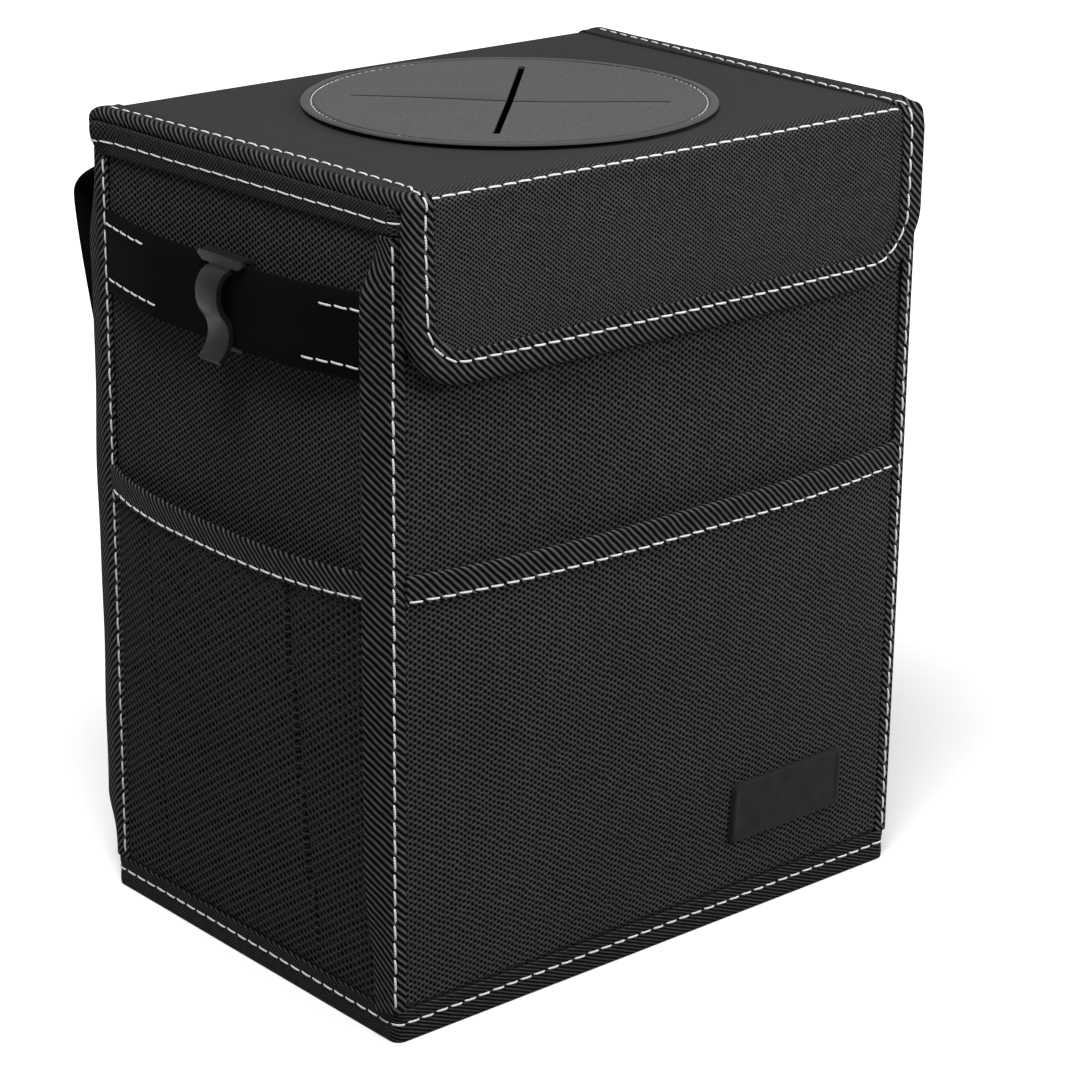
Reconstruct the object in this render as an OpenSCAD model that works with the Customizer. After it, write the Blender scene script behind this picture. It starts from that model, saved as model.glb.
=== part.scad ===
// Collapsible car trash bin: a boarded fabric box with a bound lid, a front flap, a slit port
// disc, a front pocket, two mesh pockets, side straps with bag hooks and two buckled back straps.
// Millimetres. The origin is the centre of the base face, -Y is the front and +Z is up.

/* [Body] */
// Outside width of the fabric box
body_w = 240; // [210:5:300]
// Outside depth of the fabric box
body_d = 168; // [160:4:220]
// Height from the floor to the top of the rim
body_h = 295; // [285:5:360]
// Thickness of the woven outer fabric
fabric_t = 1; // [0.6:0.1:1.4]
// Thickness of the stiffening boards
board_t = 2.4; // [1.6:0.2:3.2]
// Thickness of the waterproof liner
liner_t = 0.6; // [0.4:0.1:1]

/* [Binding tape] */
// Thickness of one layer of binding tape
tape_t = 0.8; // [0.5:0.1:1.2]
// Width of the tape that shows along the lid and the flap
edge_tape_w = 12; // [8:1:16]
// Height of the rim band
rim_h = 10.5; // [8:0.5:16]
// How far the rim band stands out from the walls
rim_proud = 1.6; // [1:0.2:2.4]
// Height of the band round the base
base_band_h = 12; // [8:1:16]
// How far the base band stands out from the walls
base_proud = 1.4; // [1:0.2:2]
// Length of the seam flange at the front corners
front_flange = 12.5; // [8:0.5:16]
// Length of the seam flange at the rear corners
rear_flange = 11.5; // [7:0.5:13]
// Thickness of a bound seam flange
flange_t = 2.2; // [1.6:0.2:3]
// Width of the corner tape's short side
corner_tape_w = 4.6; // [3:0.2:6]

/* [Lid and flap] */
// Drop of the front flap below the lid's top
flap_drop = 65; // [45:1:90]
// Radius of the flap's lower corners
flap_r = 24; // [10:1:32]
// Thickness of the flap between its tapes
flap_t = 2; // [1.4:0.2:3]
// Diameter of the port disc
disc_d = 148; // [110:2:156]
// Thickness of the port disc
disc_t = 1.8; // [1.2:0.2:3]
// Length of each slit in the port disc
slit_l = 114; // [80:2:120]
// Width of each slit in the port disc
slit_w = 3; // [1:0.5:5]
// Width of the ring where the disc is sewn to the lid
disc_seam_w = 12; // [8:1:14]

/* [Pockets] */
// Height of the pockets' top edges
pocket_h = 171; // [120:1:200]
// Height of the tape along a pocket's top edge
pocket_tape_h = 10; // [8:1:14]
// Thickness of the front pocket's fabric
pocket_t = 1; // [0.6:0.1:1.4]
// How far the front pocket stands out at the middle of its mouth
front_swell = 7; // [6:0.5:14]
// Thickness of the mesh fabric
mesh_t = 0.8; // [0.5:0.1:1.2]
// How far a mesh pocket stands out at the middle of its mouth
mesh_swell = 9; // [7:0.5:16]
// How far a mesh pocket's top edge dips at its middle
mesh_sag = 3; // [0:0.5:8]

/* [Name patch] */
// Width of the blank patch
patch_w = 57; // [30:1:80]
// Height of the blank patch
patch_h = 24; // [12:1:36]
// Thickness of the blank patch
patch_t = 2; // [1:0.2:3]
// Distance from the patch's middle to the bin's side
patch_inset = 57.5; // [40:0.5:75]
// Height of the patch's lower edge
patch_z = 32; // [20:1:80]

/* [Side straps and hooks] */
// Width of the side webbing
side_web_w = 30; // [20:1:36]
// Thickness of all webbing
web_t = 1.4; // [1:0.1:2]
// Distance from the rim's top down to the side webbing's middle
side_web_drop = 45; // [38:1:70]
// How far the side webbing bows out
side_bow = 9; // [8:0.5:14]
// Length of each sewn end of the side webbing
side_sewn = 22; // [14:1:26]
// Width of the hook's band
hook_w = 12; // [8:0.5:14]
// Width of the hook's back plate and tab
hook_plate_w = 26; // [16:1:30]
// Thickness of the hook's band
hook_t = 2; // [1.4:0.1:2.4]
// Length of the hook's upper loop
hook_loop_l = 20; // [18:0.5:24]
// How far the hook's upper loop stands out from the webbing
hook_loop_out = 8; // [7.5:0.5:12]
// Length of the hook from the webbing's top edge to its open end
hook_l = 34.5; // [33:0.5:42]
// How far the hook's open end stands out from the webbing
hook_out = 7.6; // [7:0.2:12]
// How far a hook slides to each side of its side's middle
hook_travel = 20; // [10:1:22]
// Distance from the side's middle to the hook's rest place in front of it
hook_rest = 3; // [0:1:10]

/* [Back straps and buckles] */
// Width of the back webbing
back_web_w = 25; // [20:1:28]
// Distance from a back strap's middle to the bin's side
back_strap_inset = 22; // [22:1:50]
// How far the slack loop stands out behind the bin
loop_out = 31; // [20:1:36]
// Distance from the rim's top down to the slack loop's bend, where it stands out most
bend_drop = 33.5; // [30:0.5:50]
// Distance from the rim's top down to the buckle's middle, where plug and socket meet
buckle_drop = 173; // [165:1:185]
// Height of the lower webbing's sewn end
lower_sewn_z = 46; // [30:1:56]
// Thickness of the buckle
buckle_t = 10; // [8:0.5:12]
// How far the plug pulls out of the socket
plug_travel = 22; // [18:1:24]

/* [Closure pads] */
// Width of each hook-and-loop pad
pad_w = 42; // [25:1:60]
// Height of each hook-and-loop pad
pad_h = 24; // [15:1:30]
// Thickness of each hook-and-loop pad
pad_t = 1.4; // [1:0.1:1.4]

/* [Hidden] */
$fn = 64;

// Clearance between pieces that move past each other
gap = 0.3;
// Clearance between a curved piece and the curved cloth that it is sewn to
seam = 0.15;
half_w = body_w / 2;
half_d = body_d / 2;
wall_t = fabric_t + board_t;
// The stack of wall, board and liner stops under the rim band's fold
wall_top = body_h - tape_t;

// Lid levels, from its underside up
lid_z = body_h + gap;
lid_lining_top = lid_z + tape_t;
lid_board_top = lid_lining_top + board_t;
lid_panel_top = lid_board_top + fabric_t;
lid_top = lid_panel_top + tape_t;

// Hinge of the lid, behind the rear rim
bead_r = 1.6;
hinge_y = half_d + rim_proud + bead_r + 0.8;
hinge_z = body_h + gap / 2;
lid_rear_y = hinge_y - bead_r;

// Fold of the flap, at the outer edge of the lid's top. The closure pads set its distance.
flap_gap = 2 * pad_t + gap - tape_t;
flap_in_y = -half_d - flap_gap;
flap_mid_t = flap_t + 2 * tape_t;
flap_out_y = flap_in_y - flap_mid_t;
fold_z = lid_top;
fold_bead_r = 1;
flap_top_z = fold_z - fold_bead_r - gap;
lid_front_y = flap_in_y + gap;

// Strap places
side_z0 = body_h - side_web_drop - side_web_w / 2;
patch_x = half_w - patch_inset;
back_strap_x = half_w - back_strap_inset;
bend_z = body_h - bend_drop;
buckle_z = body_h - buckle_drop;
hook_plate_t = 1.8;
// The webbing stays straight wherever the hook's plate can slide
side_straight = hook_plate_w + 2 * hook_travel + 6;
loop_top_z = body_h - rim_h - 2 * web_t;

// Pocket frames: half width of a pocket between the corner tapes
front_half = half_w - corner_tape_w;
side_half = half_d - corner_tape_w;

// A point on a cubic curve through control points a, b, c, d
function bez(a, b, c, d, t) =
    pow(1 - t, 3) * a + 3 * pow(1 - t, 2) * t * b + 3 * (1 - t) * t * t * c + t * t * t * d;

// Smooth rise from 0 to 1
function ease(t) = let (k = max(0, min(1, t))) k * k * (3 - 2 * k);

// Unit normal to the left of a path at its i-th point
function side_of(path, i) =
    let (a = path[max(0, i - 1)], b = path[min(len(path) - 1, i + 1)], d = b - a)
    [-d[1], d[0]] / norm(d);

// Closed outline of a band of thickness t that follows a path
function band(path, t) = concat(
    [for (i = [0:len(path) - 1]) path[i] + side_of(path, i) * t / 2],
    [for (i = [len(path) - 1:-1:0]) path[i] - side_of(path, i) * t / 2]
);

// Closed skin between rings that all have the same number of points
module loft(rings) {
    n = len(rings[0]);
    last = len(rings) - 1;
    polyhedron(
        points = [for (ring = rings) each ring],
        faces = concat(
            [[for (i = [0:n - 1]) i]],
            [for (j = [0:last - 1], i = [0:n - 1]) each [
                [j * n + i, (j + 1) * n + i, (j + 1) * n + (i + 1) % n],
                [j * n + i, (j + 1) * n + (i + 1) % n, j * n + (i + 1) % n]
            ]],
            [[for (i = [n - 1:-1:0]) last * n + i]]
        )
    );
}

// Closed sheet between an inner and an outer grid of points, each a list of equal rows
module sheet(inner, outer) {
    n = len(inner[0]);
    m = len(inner);
    far = n * m;
    polyhedron(
        points = concat([for (row = inner) each row], [for (row = outer) each row]),
        faces = concat(
            [for (i = [0:m - 2], j = [0:n - 2]) let (a = i * n + j) each [
                [a, a + n, a + n + 1], [a, a + n + 1, a + 1],
                [far + a, far + a + n + 1, far + a + n], [far + a, far + a + 1, far + a + n + 1]
            ]],
            [for (i = [0:m - 2], e = [0, n - 1]) let (a = i * n + e, b = a + n)
                each (e == 0 ? [[a, far + a, far + b], [a, far + b, b]]
                             : [[a, far + b, far + a], [a, b, far + b]])],
            [for (j = [0:n - 2], e = [0, (m - 1) * n]) let (a = e + j, b = a + 1)
                each (e == 0 ? [[a, far + b, far + a], [a, b, far + b]]
                             : [[a, far + a, far + b], [a, far + b, b]])]
        )
    );
}

// A box from its lowest to its highest corner
module block(lo, hi) {
    translate(lo) cube(hi - lo);
}

// An upright ring of wall: outside half sizes, inside half sizes and its two heights
module frame_ring(ox, oy, ix, iy, z0, z1) {
    difference() {
        block([-ox, -oy, z0], [ox, oy, z1]);
        block([-ix, -iy, z0 - 1], [ix, iy, z1 + 1]);
    }
}

// Base: the bottom fabric and the board that lies on it

module base_panel() {
    color("#1d1d1d") block([-half_w, -half_d, 0], [half_w, half_d, fabric_t]);
}

module base_board() {
    color("#3a3a3a") block(
        [-half_w + fabric_t, -half_d + fabric_t, fabric_t],
        [half_w - fabric_t, half_d - fabric_t, fabric_t + board_t]
    );
}

// Walls: the front and the back run the whole width, and the sides stand between them

module front_panel() {
    color("#262626") block([-half_w, -half_d, fabric_t], [half_w, -half_d + fabric_t, wall_top]);
}

module back_panel() {
    color("#262626") block([-half_w, half_d - fabric_t, fabric_t], [half_w, half_d, wall_top]);
}

module side_panel() {
    color("#242424") block(
        [-half_w, -half_d + fabric_t, fabric_t],
        [-half_w + fabric_t, half_d - fabric_t, wall_top]
    );
}

module front_board() {
    color("#3a3a3a") block(
        [-half_w + fabric_t, -half_d + fabric_t, wall_t],
        [half_w - fabric_t, -half_d + wall_t, wall_top]
    );
}

module side_board() {
    color("#3a3a3a") block(
        [-half_w + fabric_t, -half_d + wall_t, wall_t],
        [-half_w + wall_t, half_d - wall_t, wall_top]
    );
}

module liner() {
    color("#2e3033") difference() {
        block([-half_w + wall_t, -half_d + wall_t, wall_t], [half_w - wall_t, half_d - wall_t, wall_top]);
        block(
            [-half_w + wall_t + liner_t, -half_d + wall_t + liner_t, wall_t + liner_t],
            [half_w - wall_t - liner_t, half_d - wall_t - liner_t, wall_top + 1]
        );
    }
}

// Rim band: a tape folded over the top of the walls, with an outer leg and an inner leg
module rim_band() {
    inner_x = half_w - wall_t - liner_t;
    inner_y = half_d - wall_t - liner_t;
    color("#202020") {
        frame_ring(
            half_w + rim_proud, half_d + rim_proud, half_w, half_d, body_h - rim_h, wall_top
        );
        frame_ring(
            half_w + rim_proud, half_d + rim_proud, inner_x - tape_t, inner_y - tape_t,
            wall_top, body_h
        );
        frame_ring(
            inner_x, inner_y, inner_x - tape_t, inner_y - tape_t, body_h - rim_h, wall_top
        );
    }
}

// Base binding: the bound seam between the walls and the bottom
module base_binding() {
    color("#1a1a1a") frame_ring(
        half_w + base_proud, half_d + base_proud, half_w, half_d, 0, base_band_h
    );
}

// Corner bindings. The section lies in the corner's own frame, with the body in its first
// quadrant: the short leg runs along x and the seam flange along y, turned out by lean degrees.
function corner_section(lean, reach) =
    let (
        dir = [-sin(lean), cos(lean)],
        inward = [cos(lean), sin(lean)] * flange_t / 2,
        root = [-flange_t / 2, 0],
        tip = root + dir * reach,
        leg_t = tape_t + 0.4
    ) [
        [corner_tape_w, 0],
        [corner_tape_w, -leg_t],
        [0, -leg_t],
        [-0.8 * flange_t, -0.7 * leg_t],
        root - inward,
        tip - inward,
        tip + dir * 0.5,
        tip + inward,
        root + inward,
        [0, 0]
    ];

// A seam flange stands out most at mid height and lies down towards the base and the rim
module corner_binding(reach, rest_lean, mid_lean, foot_lean) {
    z0 = base_band_h;
    z1 = body_h - rim_h;
    steps = 18;
    color("#1a1a1a") loft([for (k = [0:steps])
        let (
            t = k / steps,
            up = ease(t / 0.22),
            down = ease((1 - t) / 0.16),
            lean = min(foot_lean + (mid_lean - foot_lean) * up, rest_lean + (mid_lean - rest_lean) * down),
            len_k = reach * (0.72 + 0.28 * min(up, down))
        )
        [for (p = corner_section(lean, len_k)) [p[0], p[1], z0 + (z1 - z0) * t]]
    ]);
}

module front_left_binding() {
    translate([-half_w, -half_d, 0]) corner_binding(front_flange, 22, 46, 20);
}

module rear_left_binding() {
    translate([-half_w, half_d, 0]) rotate(-90) corner_binding(rear_flange, 50, 68, 24);
}

// Pockets. How far a pocket's cloth stands out at u across and z up: nothing at its sides
// and at the base, and most at the middle of its mouth.
function swell(u, z, half, out) =
    out * (1 - pow(abs(u) / half, 2.6)) * pow(sin(90 * min(1, (z - base_band_h) / (pocket_h - base_band_h))), 0.8);

// The pocket's top edge dips towards its middle
function pocket_top(u, half, sag) = pocket_h - sag * (1 - pow(u / half, 2));

// One layer of pocket cloth in the frame of its wall, from u0 to u1 across and from zlow to
// zhigh up, that lies from inner to outer off the wall's swelled surface
module pocket_cloth(half, out, u0, u1, zlow, zhigh, sag, inner, outer, nu, nz) {
    function at(i, j, off) =
        let (
            u = u0 + (u1 - u0) * i / nu,
            z = zlow + (zhigh - zlow) * j / nz,
            dip = pocket_h - pocket_top(u, half, sag),
            share = (z - base_band_h) / (pocket_h - base_band_h)
        ) [u, -swell(u, z, half, out) - off, z - dip * ease(share)];
    sheet(
        [for (i = [0:nu]) [for (j = [0:nz]) at(i, j, inner)]],
        [for (i = [0:nu]) [for (j = [0:nz]) at(i, j, outer)]]
    );
}

module front_pocket() {
    color("#262626") translate([0, -half_d, 0]) pocket_cloth(
        front_half, front_swell, -front_half, front_half,
        base_band_h, pocket_h - pocket_tape_h, 0, 0, pocket_t, 16, 8
    );
}

module front_pocket_binding() {
    color("#1a1a1a") translate([0, -half_d, 0]) pocket_cloth(
        front_half, front_swell, -front_half, front_half,
        pocket_h - pocket_tape_h, pocket_h, 0, 0, pocket_t + 2 * tape_t, 16, 1
    );
}

module left_mesh_pocket() {
    color("#303030") translate([-half_w, 0, 0]) rotate(-90) pocket_cloth(
        side_half, mesh_swell, -side_half, side_half,
        base_band_h, pocket_h - pocket_tape_h, mesh_sag, 0, mesh_t, 14, 8
    );
}

module left_mesh_binding() {
    color("#1a1a1a") translate([-half_w, 0, 0]) rotate(-90) pocket_cloth(
        side_half, mesh_swell, -side_half, side_half,
        pocket_h - pocket_tape_h, pocket_h, mesh_sag, 0, mesh_t + 2 * tape_t, 14, 1
    );
}

// Blank moulded patch, sewn to the pocket and curved with it
module name_patch() {
    color("#141414") translate([0, -half_d, 0]) pocket_cloth(
        front_half, front_swell, patch_x - patch_w / 2, patch_x + patch_w / 2,
        patch_z, patch_z + patch_h, 0, pocket_t + seam, pocket_t + seam + patch_t, 8, 3
    );
}

// Side straps: sewn flat at both ends, with a straight middle that stands off the wall
module left_side_strap() {
    end_y = half_d - corner_tape_w;
    flat_y = end_y - side_sewn;
    path = [for (k = [-30:30])
        let (
            y = end_y * k / 30,
            rise = ease((flat_y - abs(y)) / (flat_y - side_straight / 2))
        )
        [-half_w - web_t / 2 - (side_bow - web_t) * rise, y]
    ];
    color("#161616") translate([0, 0, side_z0]) linear_extrude(side_web_w) polygon(band(path, web_t));
}

// Bag hook, moulded in one piece: a plate behind the webbing, a tab over its top edge, and a
// band in front that swells into a loop and ends in an open hook. The profile is drawn with x
// out from the webbing's face and y up from its top edge.
tab_t = 1.2;
tab_taper = 3;
tab_trim = 1;
lip_t = 1.5;
lip_l = 2;
loop_start = -lip_l - 1.4;

module hook_profile() {
    belly = hook_loop_out - hook_t / 2;
    tip_x = hook_out - hook_t / 2;
    waist = [0.57 * belly, -0.95 * hook_loop_l];
    path = concat(
        [for (k = [0:14])
            bez([gap, loop_start], [belly, loop_start + 0.4], [1.32 * belly, -0.64 * hook_loop_l], waist, k / 14)],
        [for (k = [1:12])
            bez(waist, waist - [2.8, 3.4], [0.6, 5 - hook_l], [tip_x, -hook_l], k / 12)]
    );
    polygon(band(path, hook_t));
}

module left_bag_hook() {
    back = -web_t - gap;
    tab_top = gap + tab_t;
    foot_w = hook_w + 2;
    half_tab = hook_plate_w / 2;
    color("#2a2a2a") translate([-half_w - side_bow, -hook_rest, side_z0 + side_web_w]) mirror([1, 0, 0]) {
        translate([0, hook_w / 2, 0]) rotate([90, 0, 0]) linear_extrude(hook_w) hook_profile();
        block([gap, -hook_w / 2, loop_start - hook_t / 2], [gap + lip_t, hook_w / 2, 0]);
        translate([gap, 0, 0]) rotate([90, 0, 90]) linear_extrude(lip_t) polygon([
            [-half_tab, 0],
            [tab_taper - half_tab, -lip_l],
            [half_tab - tab_taper, -lip_l],
            [half_tab, 0],
            [half_tab - tab_trim, tab_top],
            [tab_trim - half_tab, tab_top]
        ]);
        block(
            [back - hook_plate_t, tab_trim - half_tab, gap],
            [gap + lip_t / 2, half_tab - tab_trim, tab_top]
        );
        block([back - hook_plate_t, -half_tab, -side_web_w * 0.5], [back, half_tab, tab_top]);
        block(
            [back - hook_plate_t, -foot_w / 2, -side_web_w - gap - hook_t],
            [back, foot_w / 2, -side_web_w * 0.5]
        );
    }
}

// Hook-and-loop closure between the front wall and the flap
pad_x = half_w / 2;
pad_z = lid_top - flap_drop + edge_tape_w + 3;

module front_loop_pads() {
    color("#111111") for (s = [-1, 1]) block(
        [s * pad_x - pad_w / 2, -half_d - pad_t, pad_z],
        [s * pad_x + pad_w / 2, -half_d, pad_z + pad_h]
    );
}

module flap_hook_pads() {
    color("#111111") for (s = [-1, 1]) block(
        [s * pad_x - pad_w / 2, flap_in_y - tape_t, pad_z],
        [s * pad_x + pad_w / 2, flap_in_y - tape_t + pad_t, pad_z + pad_h]
    );
}

// Strip of lid fabric that is sewn to the rear of the rim below the hinge line
module hinge_tail() {
    tail_y = half_d + rim_proud;
    color("#262626") block(
        [-half_w + edge_tape_w, tail_y, body_h - rim_h],
        [half_w - edge_tape_w, tail_y + fabric_t, body_h - bead_r - gap]
    );
}

// Back straps: a slack loop that leaves the back below the rim, bends and comes down to turn
// round the rod of the buckle's socket
socket_l = 32;
rod_r = 1.7;
rod_window = 4.4;
buckle_w = back_web_w + 7;
buckle_mid_y = half_d + gap + buckle_t / 2;
socket_rod_z = buckle_z + socket_l - rod_r;
plug_l = 14;
plug_rod_z = buckle_z - gap - plug_l + rod_r;
mouth_w = buckle_w - 6;
mouth_t = buckle_t - 4;
web_y = half_d + web_t / 2;

// Webbing that turns half way round a rod: from the wall's side, past it and back on the
// outer side. The sign is 1 where it passes above the rod and -1 where it passes below.
function turn_round(rod_z, sign) =
    let (r = rod_r + gap + web_t / 2)
    concat(
        [for (k = [0:10]) let (a = 180 - 18 * k)
            [buckle_mid_y + r * cos(a), rod_z + sign * r * sin(a)]],
        [[buckle_mid_y + r, rod_z - sign * 7]]
    );

// Cheeks and rod that hold the webbing, from z0 to z1 with the rod at rod_z
module web_holder(z0, z1, rod_z) {
    for (s = [-1, 1]) translate([s * (buckle_w - 3) / 2, 0, (z0 + z1) / 2])
        cube([3, buckle_t - 3, z1 - z0], center = true);
    translate([-buckle_w / 2 + 1, 0, rod_z]) rotate([0, 90, 0]) cylinder(r = rod_r, h = buckle_w - 2);
}

module left_back_strap() {
    near_y = buckle_mid_y - rod_r - gap - web_t / 2;
    bend = [web_y + loop_out, bend_z];
    pull = 8;
    drop = bend_z - socket_rod_z;
    path = concat(
        [for (k = [0:12])
            bez([web_y, loop_top_z], [web_y + loop_out / 2, loop_top_z - pull], bend + [0, pull], bend, k / 12)],
        [for (k = [1:13])
            bez(bend, bend - [1, 0.15 * drop], [near_y + 13, socket_rod_z + 0.4 * drop],
                [near_y, socket_rod_z], k / 14)],
        turn_round(socket_rod_z, -1)
    );
    color("#161616") translate([-back_strap_x - back_web_w / 2, 0, 0])
        rotate([90, 0, 90]) linear_extrude(back_web_w) polygon(band(path, web_t));
}

// Female half of the buckle: a flat housing with a mouth below and a window each side for the
// prongs, and a rod above for the webbing
module left_buckle_socket() {
    housing_l = socket_l - 2 * rod_r - rod_window;
    color("#1c1c1c") translate([-back_strap_x, buckle_mid_y, buckle_z]) {
        difference() {
            hull() {
                translate([0, 0, 2]) cube([buckle_w, buckle_t, 4], center = true);
                translate([0, 0, housing_l / 2]) cube([buckle_w - 3, buckle_t, 6], center = true);
                translate([0, 0, housing_l - 2]) cube([buckle_w, buckle_t - 3, 4], center = true);
            }
            translate([0, 0, housing_l / 2 - 2])
                cube([mouth_w, mouth_t, housing_l + 0.01], center = true);
            for (s = [-1, 1]) translate([s * buckle_w / 2, 0, housing_l / 2])
                cube([8, mouth_t, 9], center = true);
        }
        web_holder(housing_l, socket_l - rod_r, socket_l - rod_r);
    }
}

// Male half of the buckle: a rod that holds the lower webbing, a block that closes the mouth,
// a middle guide and two prongs
module left_buckle_plug() {
    in_w = mouth_w / 2 - gap;
    in_t = mouth_t - 2 * gap;
    block_l = plug_l - 2 * rod_r - rod_window;
    prong_l = plug_travel - 4;
    prong_w = 3.2;
    color("#1c1c1c") translate([-back_strap_x, buckle_mid_y, buckle_z - gap]) {
        translate([0, 0, -block_l / 2]) cube([buckle_w, buckle_t - 1, block_l], center = true);
        web_holder(-plug_l + rod_r, -block_l, -plug_l + rod_r);
        block([-2, -in_t / 2, 0], [2, in_t / 2, prong_l - 3]);
        for (s = [0, 1]) mirror([s, 0, 0])
            translate([0, in_t / 2, 0]) rotate([90, 0, 0]) linear_extrude(in_t) polygon([
                [in_w - prong_w - 1, 0],
                [in_w - 1, 0],
                [in_w - 1.4, prong_l * 0.45],
                [in_w, prong_l * 0.55],
                [in_w, prong_l * 0.8],
                [in_w - prong_w, prong_l],
                [in_w - prong_w - 1, prong_l * 0.9]
            ]);
    }
}

// Lower webbing, from its sewn end up to the plug's rod
module left_lower_strap() {
    near_y = buckle_mid_y - rod_r - gap - web_t / 2;
    path = concat(
        [for (k = [0:5]) let (t = k / 6)
            [web_y + (near_y - web_y) * ease(t * 1.4 - 0.4), lower_sewn_z + (plug_rod_z - lower_sewn_z) * t]],
        turn_round(plug_rod_z, 1)
    );
    color("#161616") translate([-back_strap_x - back_web_w / 2, 0, 0])
        rotate([90, 0, 90]) linear_extrude(back_web_w) polygon(band(path, web_t));
}

// Lid: lining, board, top fabric and the tape round both side edges
port_r = disc_d / 2 - disc_seam_w;
disc_y = (lid_front_y + lid_rear_y) / 2;

module lid_layer(inset, z0, z1, front_y) {
    difference() {
        block([-half_w + inset, front_y, z0], [half_w - inset, lid_rear_y, z1]);
        translate([0, disc_y, z0 - 1]) cylinder(r = port_r, h = z1 - z0 + 2);
    }
}

module lid_lining() {
    color("#2e3033") lid_layer(edge_tape_w, lid_z, lid_lining_top, lid_front_y);
}

module lid_board() {
    color("#3a3a3a") lid_layer(tape_t, lid_lining_top, lid_board_top, lid_front_y);
}

module lid_panel() {
    lip_y = flap_out_y + fold_bead_r + gap;
    color("#414141") {
        lid_layer(tape_t, lid_board_top, lid_panel_top, lid_front_y);
        block([-half_w + tape_t, lip_y, lid_panel_top - 0.5], [half_w - tape_t, lid_front_y, lid_panel_top]);
    }
}

module lid_binding() {
    color("#1a1a1a") for (s = [0, 1]) mirror([s, 0, 0]) difference() {
        block([half_w - edge_tape_w, lid_front_y, lid_z], [half_w, lid_rear_y, lid_top]);
        block(
            [half_w - edge_tape_w - 1, lid_front_y - 1, lid_lining_top],
            [half_w - tape_t, lid_rear_y + 1, lid_panel_top]
        );
    }
}

module lid_hinge_bead() {
    color("#414141") translate([-half_w + tape_t, hinge_y, hinge_z]) rotate([0, 90, 0])
        cylinder(r = bead_r, h = body_w - 2 * tape_t);
}

// Port disc: a soft round sheet sewn over the hole in the lid, cut crosswise
module port_disc() {
    r = disc_d / 2;
    color("#646464") translate([0, disc_y, lid_panel_top]) difference() {
        rotate_extrude($fn = 128) polygon([
            [0, 0], [r, 0], [r, disc_t * 0.5], [r - 0.8, disc_t], [0, disc_t]
        ]);
        for (a = [45, -45]) rotate(a)
            translate([0, 0, disc_t / 2]) cube([slit_l, slit_w, disc_t + 2], center = true);
    }
}

// Outline of the flap, hanging from y = 0 down, with its lower corners rounded
function flap_outline(inset, low, top) =
    let (w = half_w - inset, r = flap_r - inset, n = 10)
    concat(
        [[w, top], [-w, top]],
        [for (k = [0:n]) let (a = 180 + 90 * k / n) [-w + r + r * cos(a), low + r + r * sin(a)]],
        [for (k = [0:n]) let (a = 270 + 90 * k / n) [w - r + r * cos(a), low + r + r * sin(a)]]
    );

module flap_plate(inset, y0, y1) {
    low = lid_top - flap_drop + inset;
    translate([0, y1, 0]) rotate([90, 0, 0]) linear_extrude(y1 - y0)
        polygon(flap_outline(inset, low, flap_top_z));
}

module flap_panel() {
    color("#2e2e2e") flap_plate(tape_t, flap_out_y + tape_t, flap_in_y - tape_t);
}

module flap_binding() {
    color("#1a1a1a") difference() {
        flap_plate(0, flap_out_y, flap_in_y);
        flap_plate(edge_tape_w, flap_out_y - 1, flap_in_y + 1);
        flap_plate(tape_t, flap_out_y + tape_t, flap_in_y - tape_t);
    }
}

module flap_fold_bead() {
    color("#2e2e2e") translate([-half_w + tape_t, flap_out_y, fold_z]) rotate([0, 90, 0])
        cylinder(r = fold_bead_r, h = body_w - 2 * tape_t);
}

base_panel();
base_board();
front_panel();
back_panel();
side_panel();  // left_panel
mirror([1, 0, 0]) side_panel();  // right_panel
front_board();
mirror([0, 1, 0]) front_board();  // back_board
side_board();  // left_board
mirror([1, 0, 0]) side_board();  // right_board
liner();
rim_band();
base_binding();
front_left_binding();
mirror([1, 0, 0]) front_left_binding();  // front_right_binding
rear_left_binding();
mirror([1, 0, 0]) rear_left_binding();  // rear_right_binding
front_pocket();
front_pocket_binding();
left_mesh_pocket();
mirror([1, 0, 0]) left_mesh_pocket();  // right_mesh_pocket
left_mesh_binding();
mirror([1, 0, 0]) left_mesh_binding();  // right_mesh_binding
name_patch();
left_side_strap();
mirror([1, 0, 0]) left_side_strap();  // right_side_strap
front_loop_pads();
hinge_tail();
left_back_strap();
mirror([1, 0, 0]) left_back_strap();  // right_back_strap
left_buckle_socket();
mirror([1, 0, 0]) left_buckle_socket();  // right_buckle_socket
left_lower_strap();
mirror([1, 0, 0]) left_lower_strap();  // right_lower_strap
left_buckle_plug();
mirror([1, 0, 0]) left_buckle_plug();  // right_buckle_plug
lid_panel();
lid_board();
lid_lining();
lid_binding();
lid_hinge_bead();
port_disc();
flap_panel();
flap_binding();
flap_fold_bead();
flap_hook_pads();
left_bag_hook();
mirror([1, 0, 0]) left_bag_hook();  // right_bag_hook
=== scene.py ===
"""Looks for the collapsible car trash bin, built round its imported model.

Shapes are worked out in millimetres, in the model's own frame: the origin is the centre of the
base, -Y is the front and +Z is up. They turn into metres where a mesh is made.
"""
import math

import bmesh
import bpy
import numpy as np
from mathutils import Matrix, Vector


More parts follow.
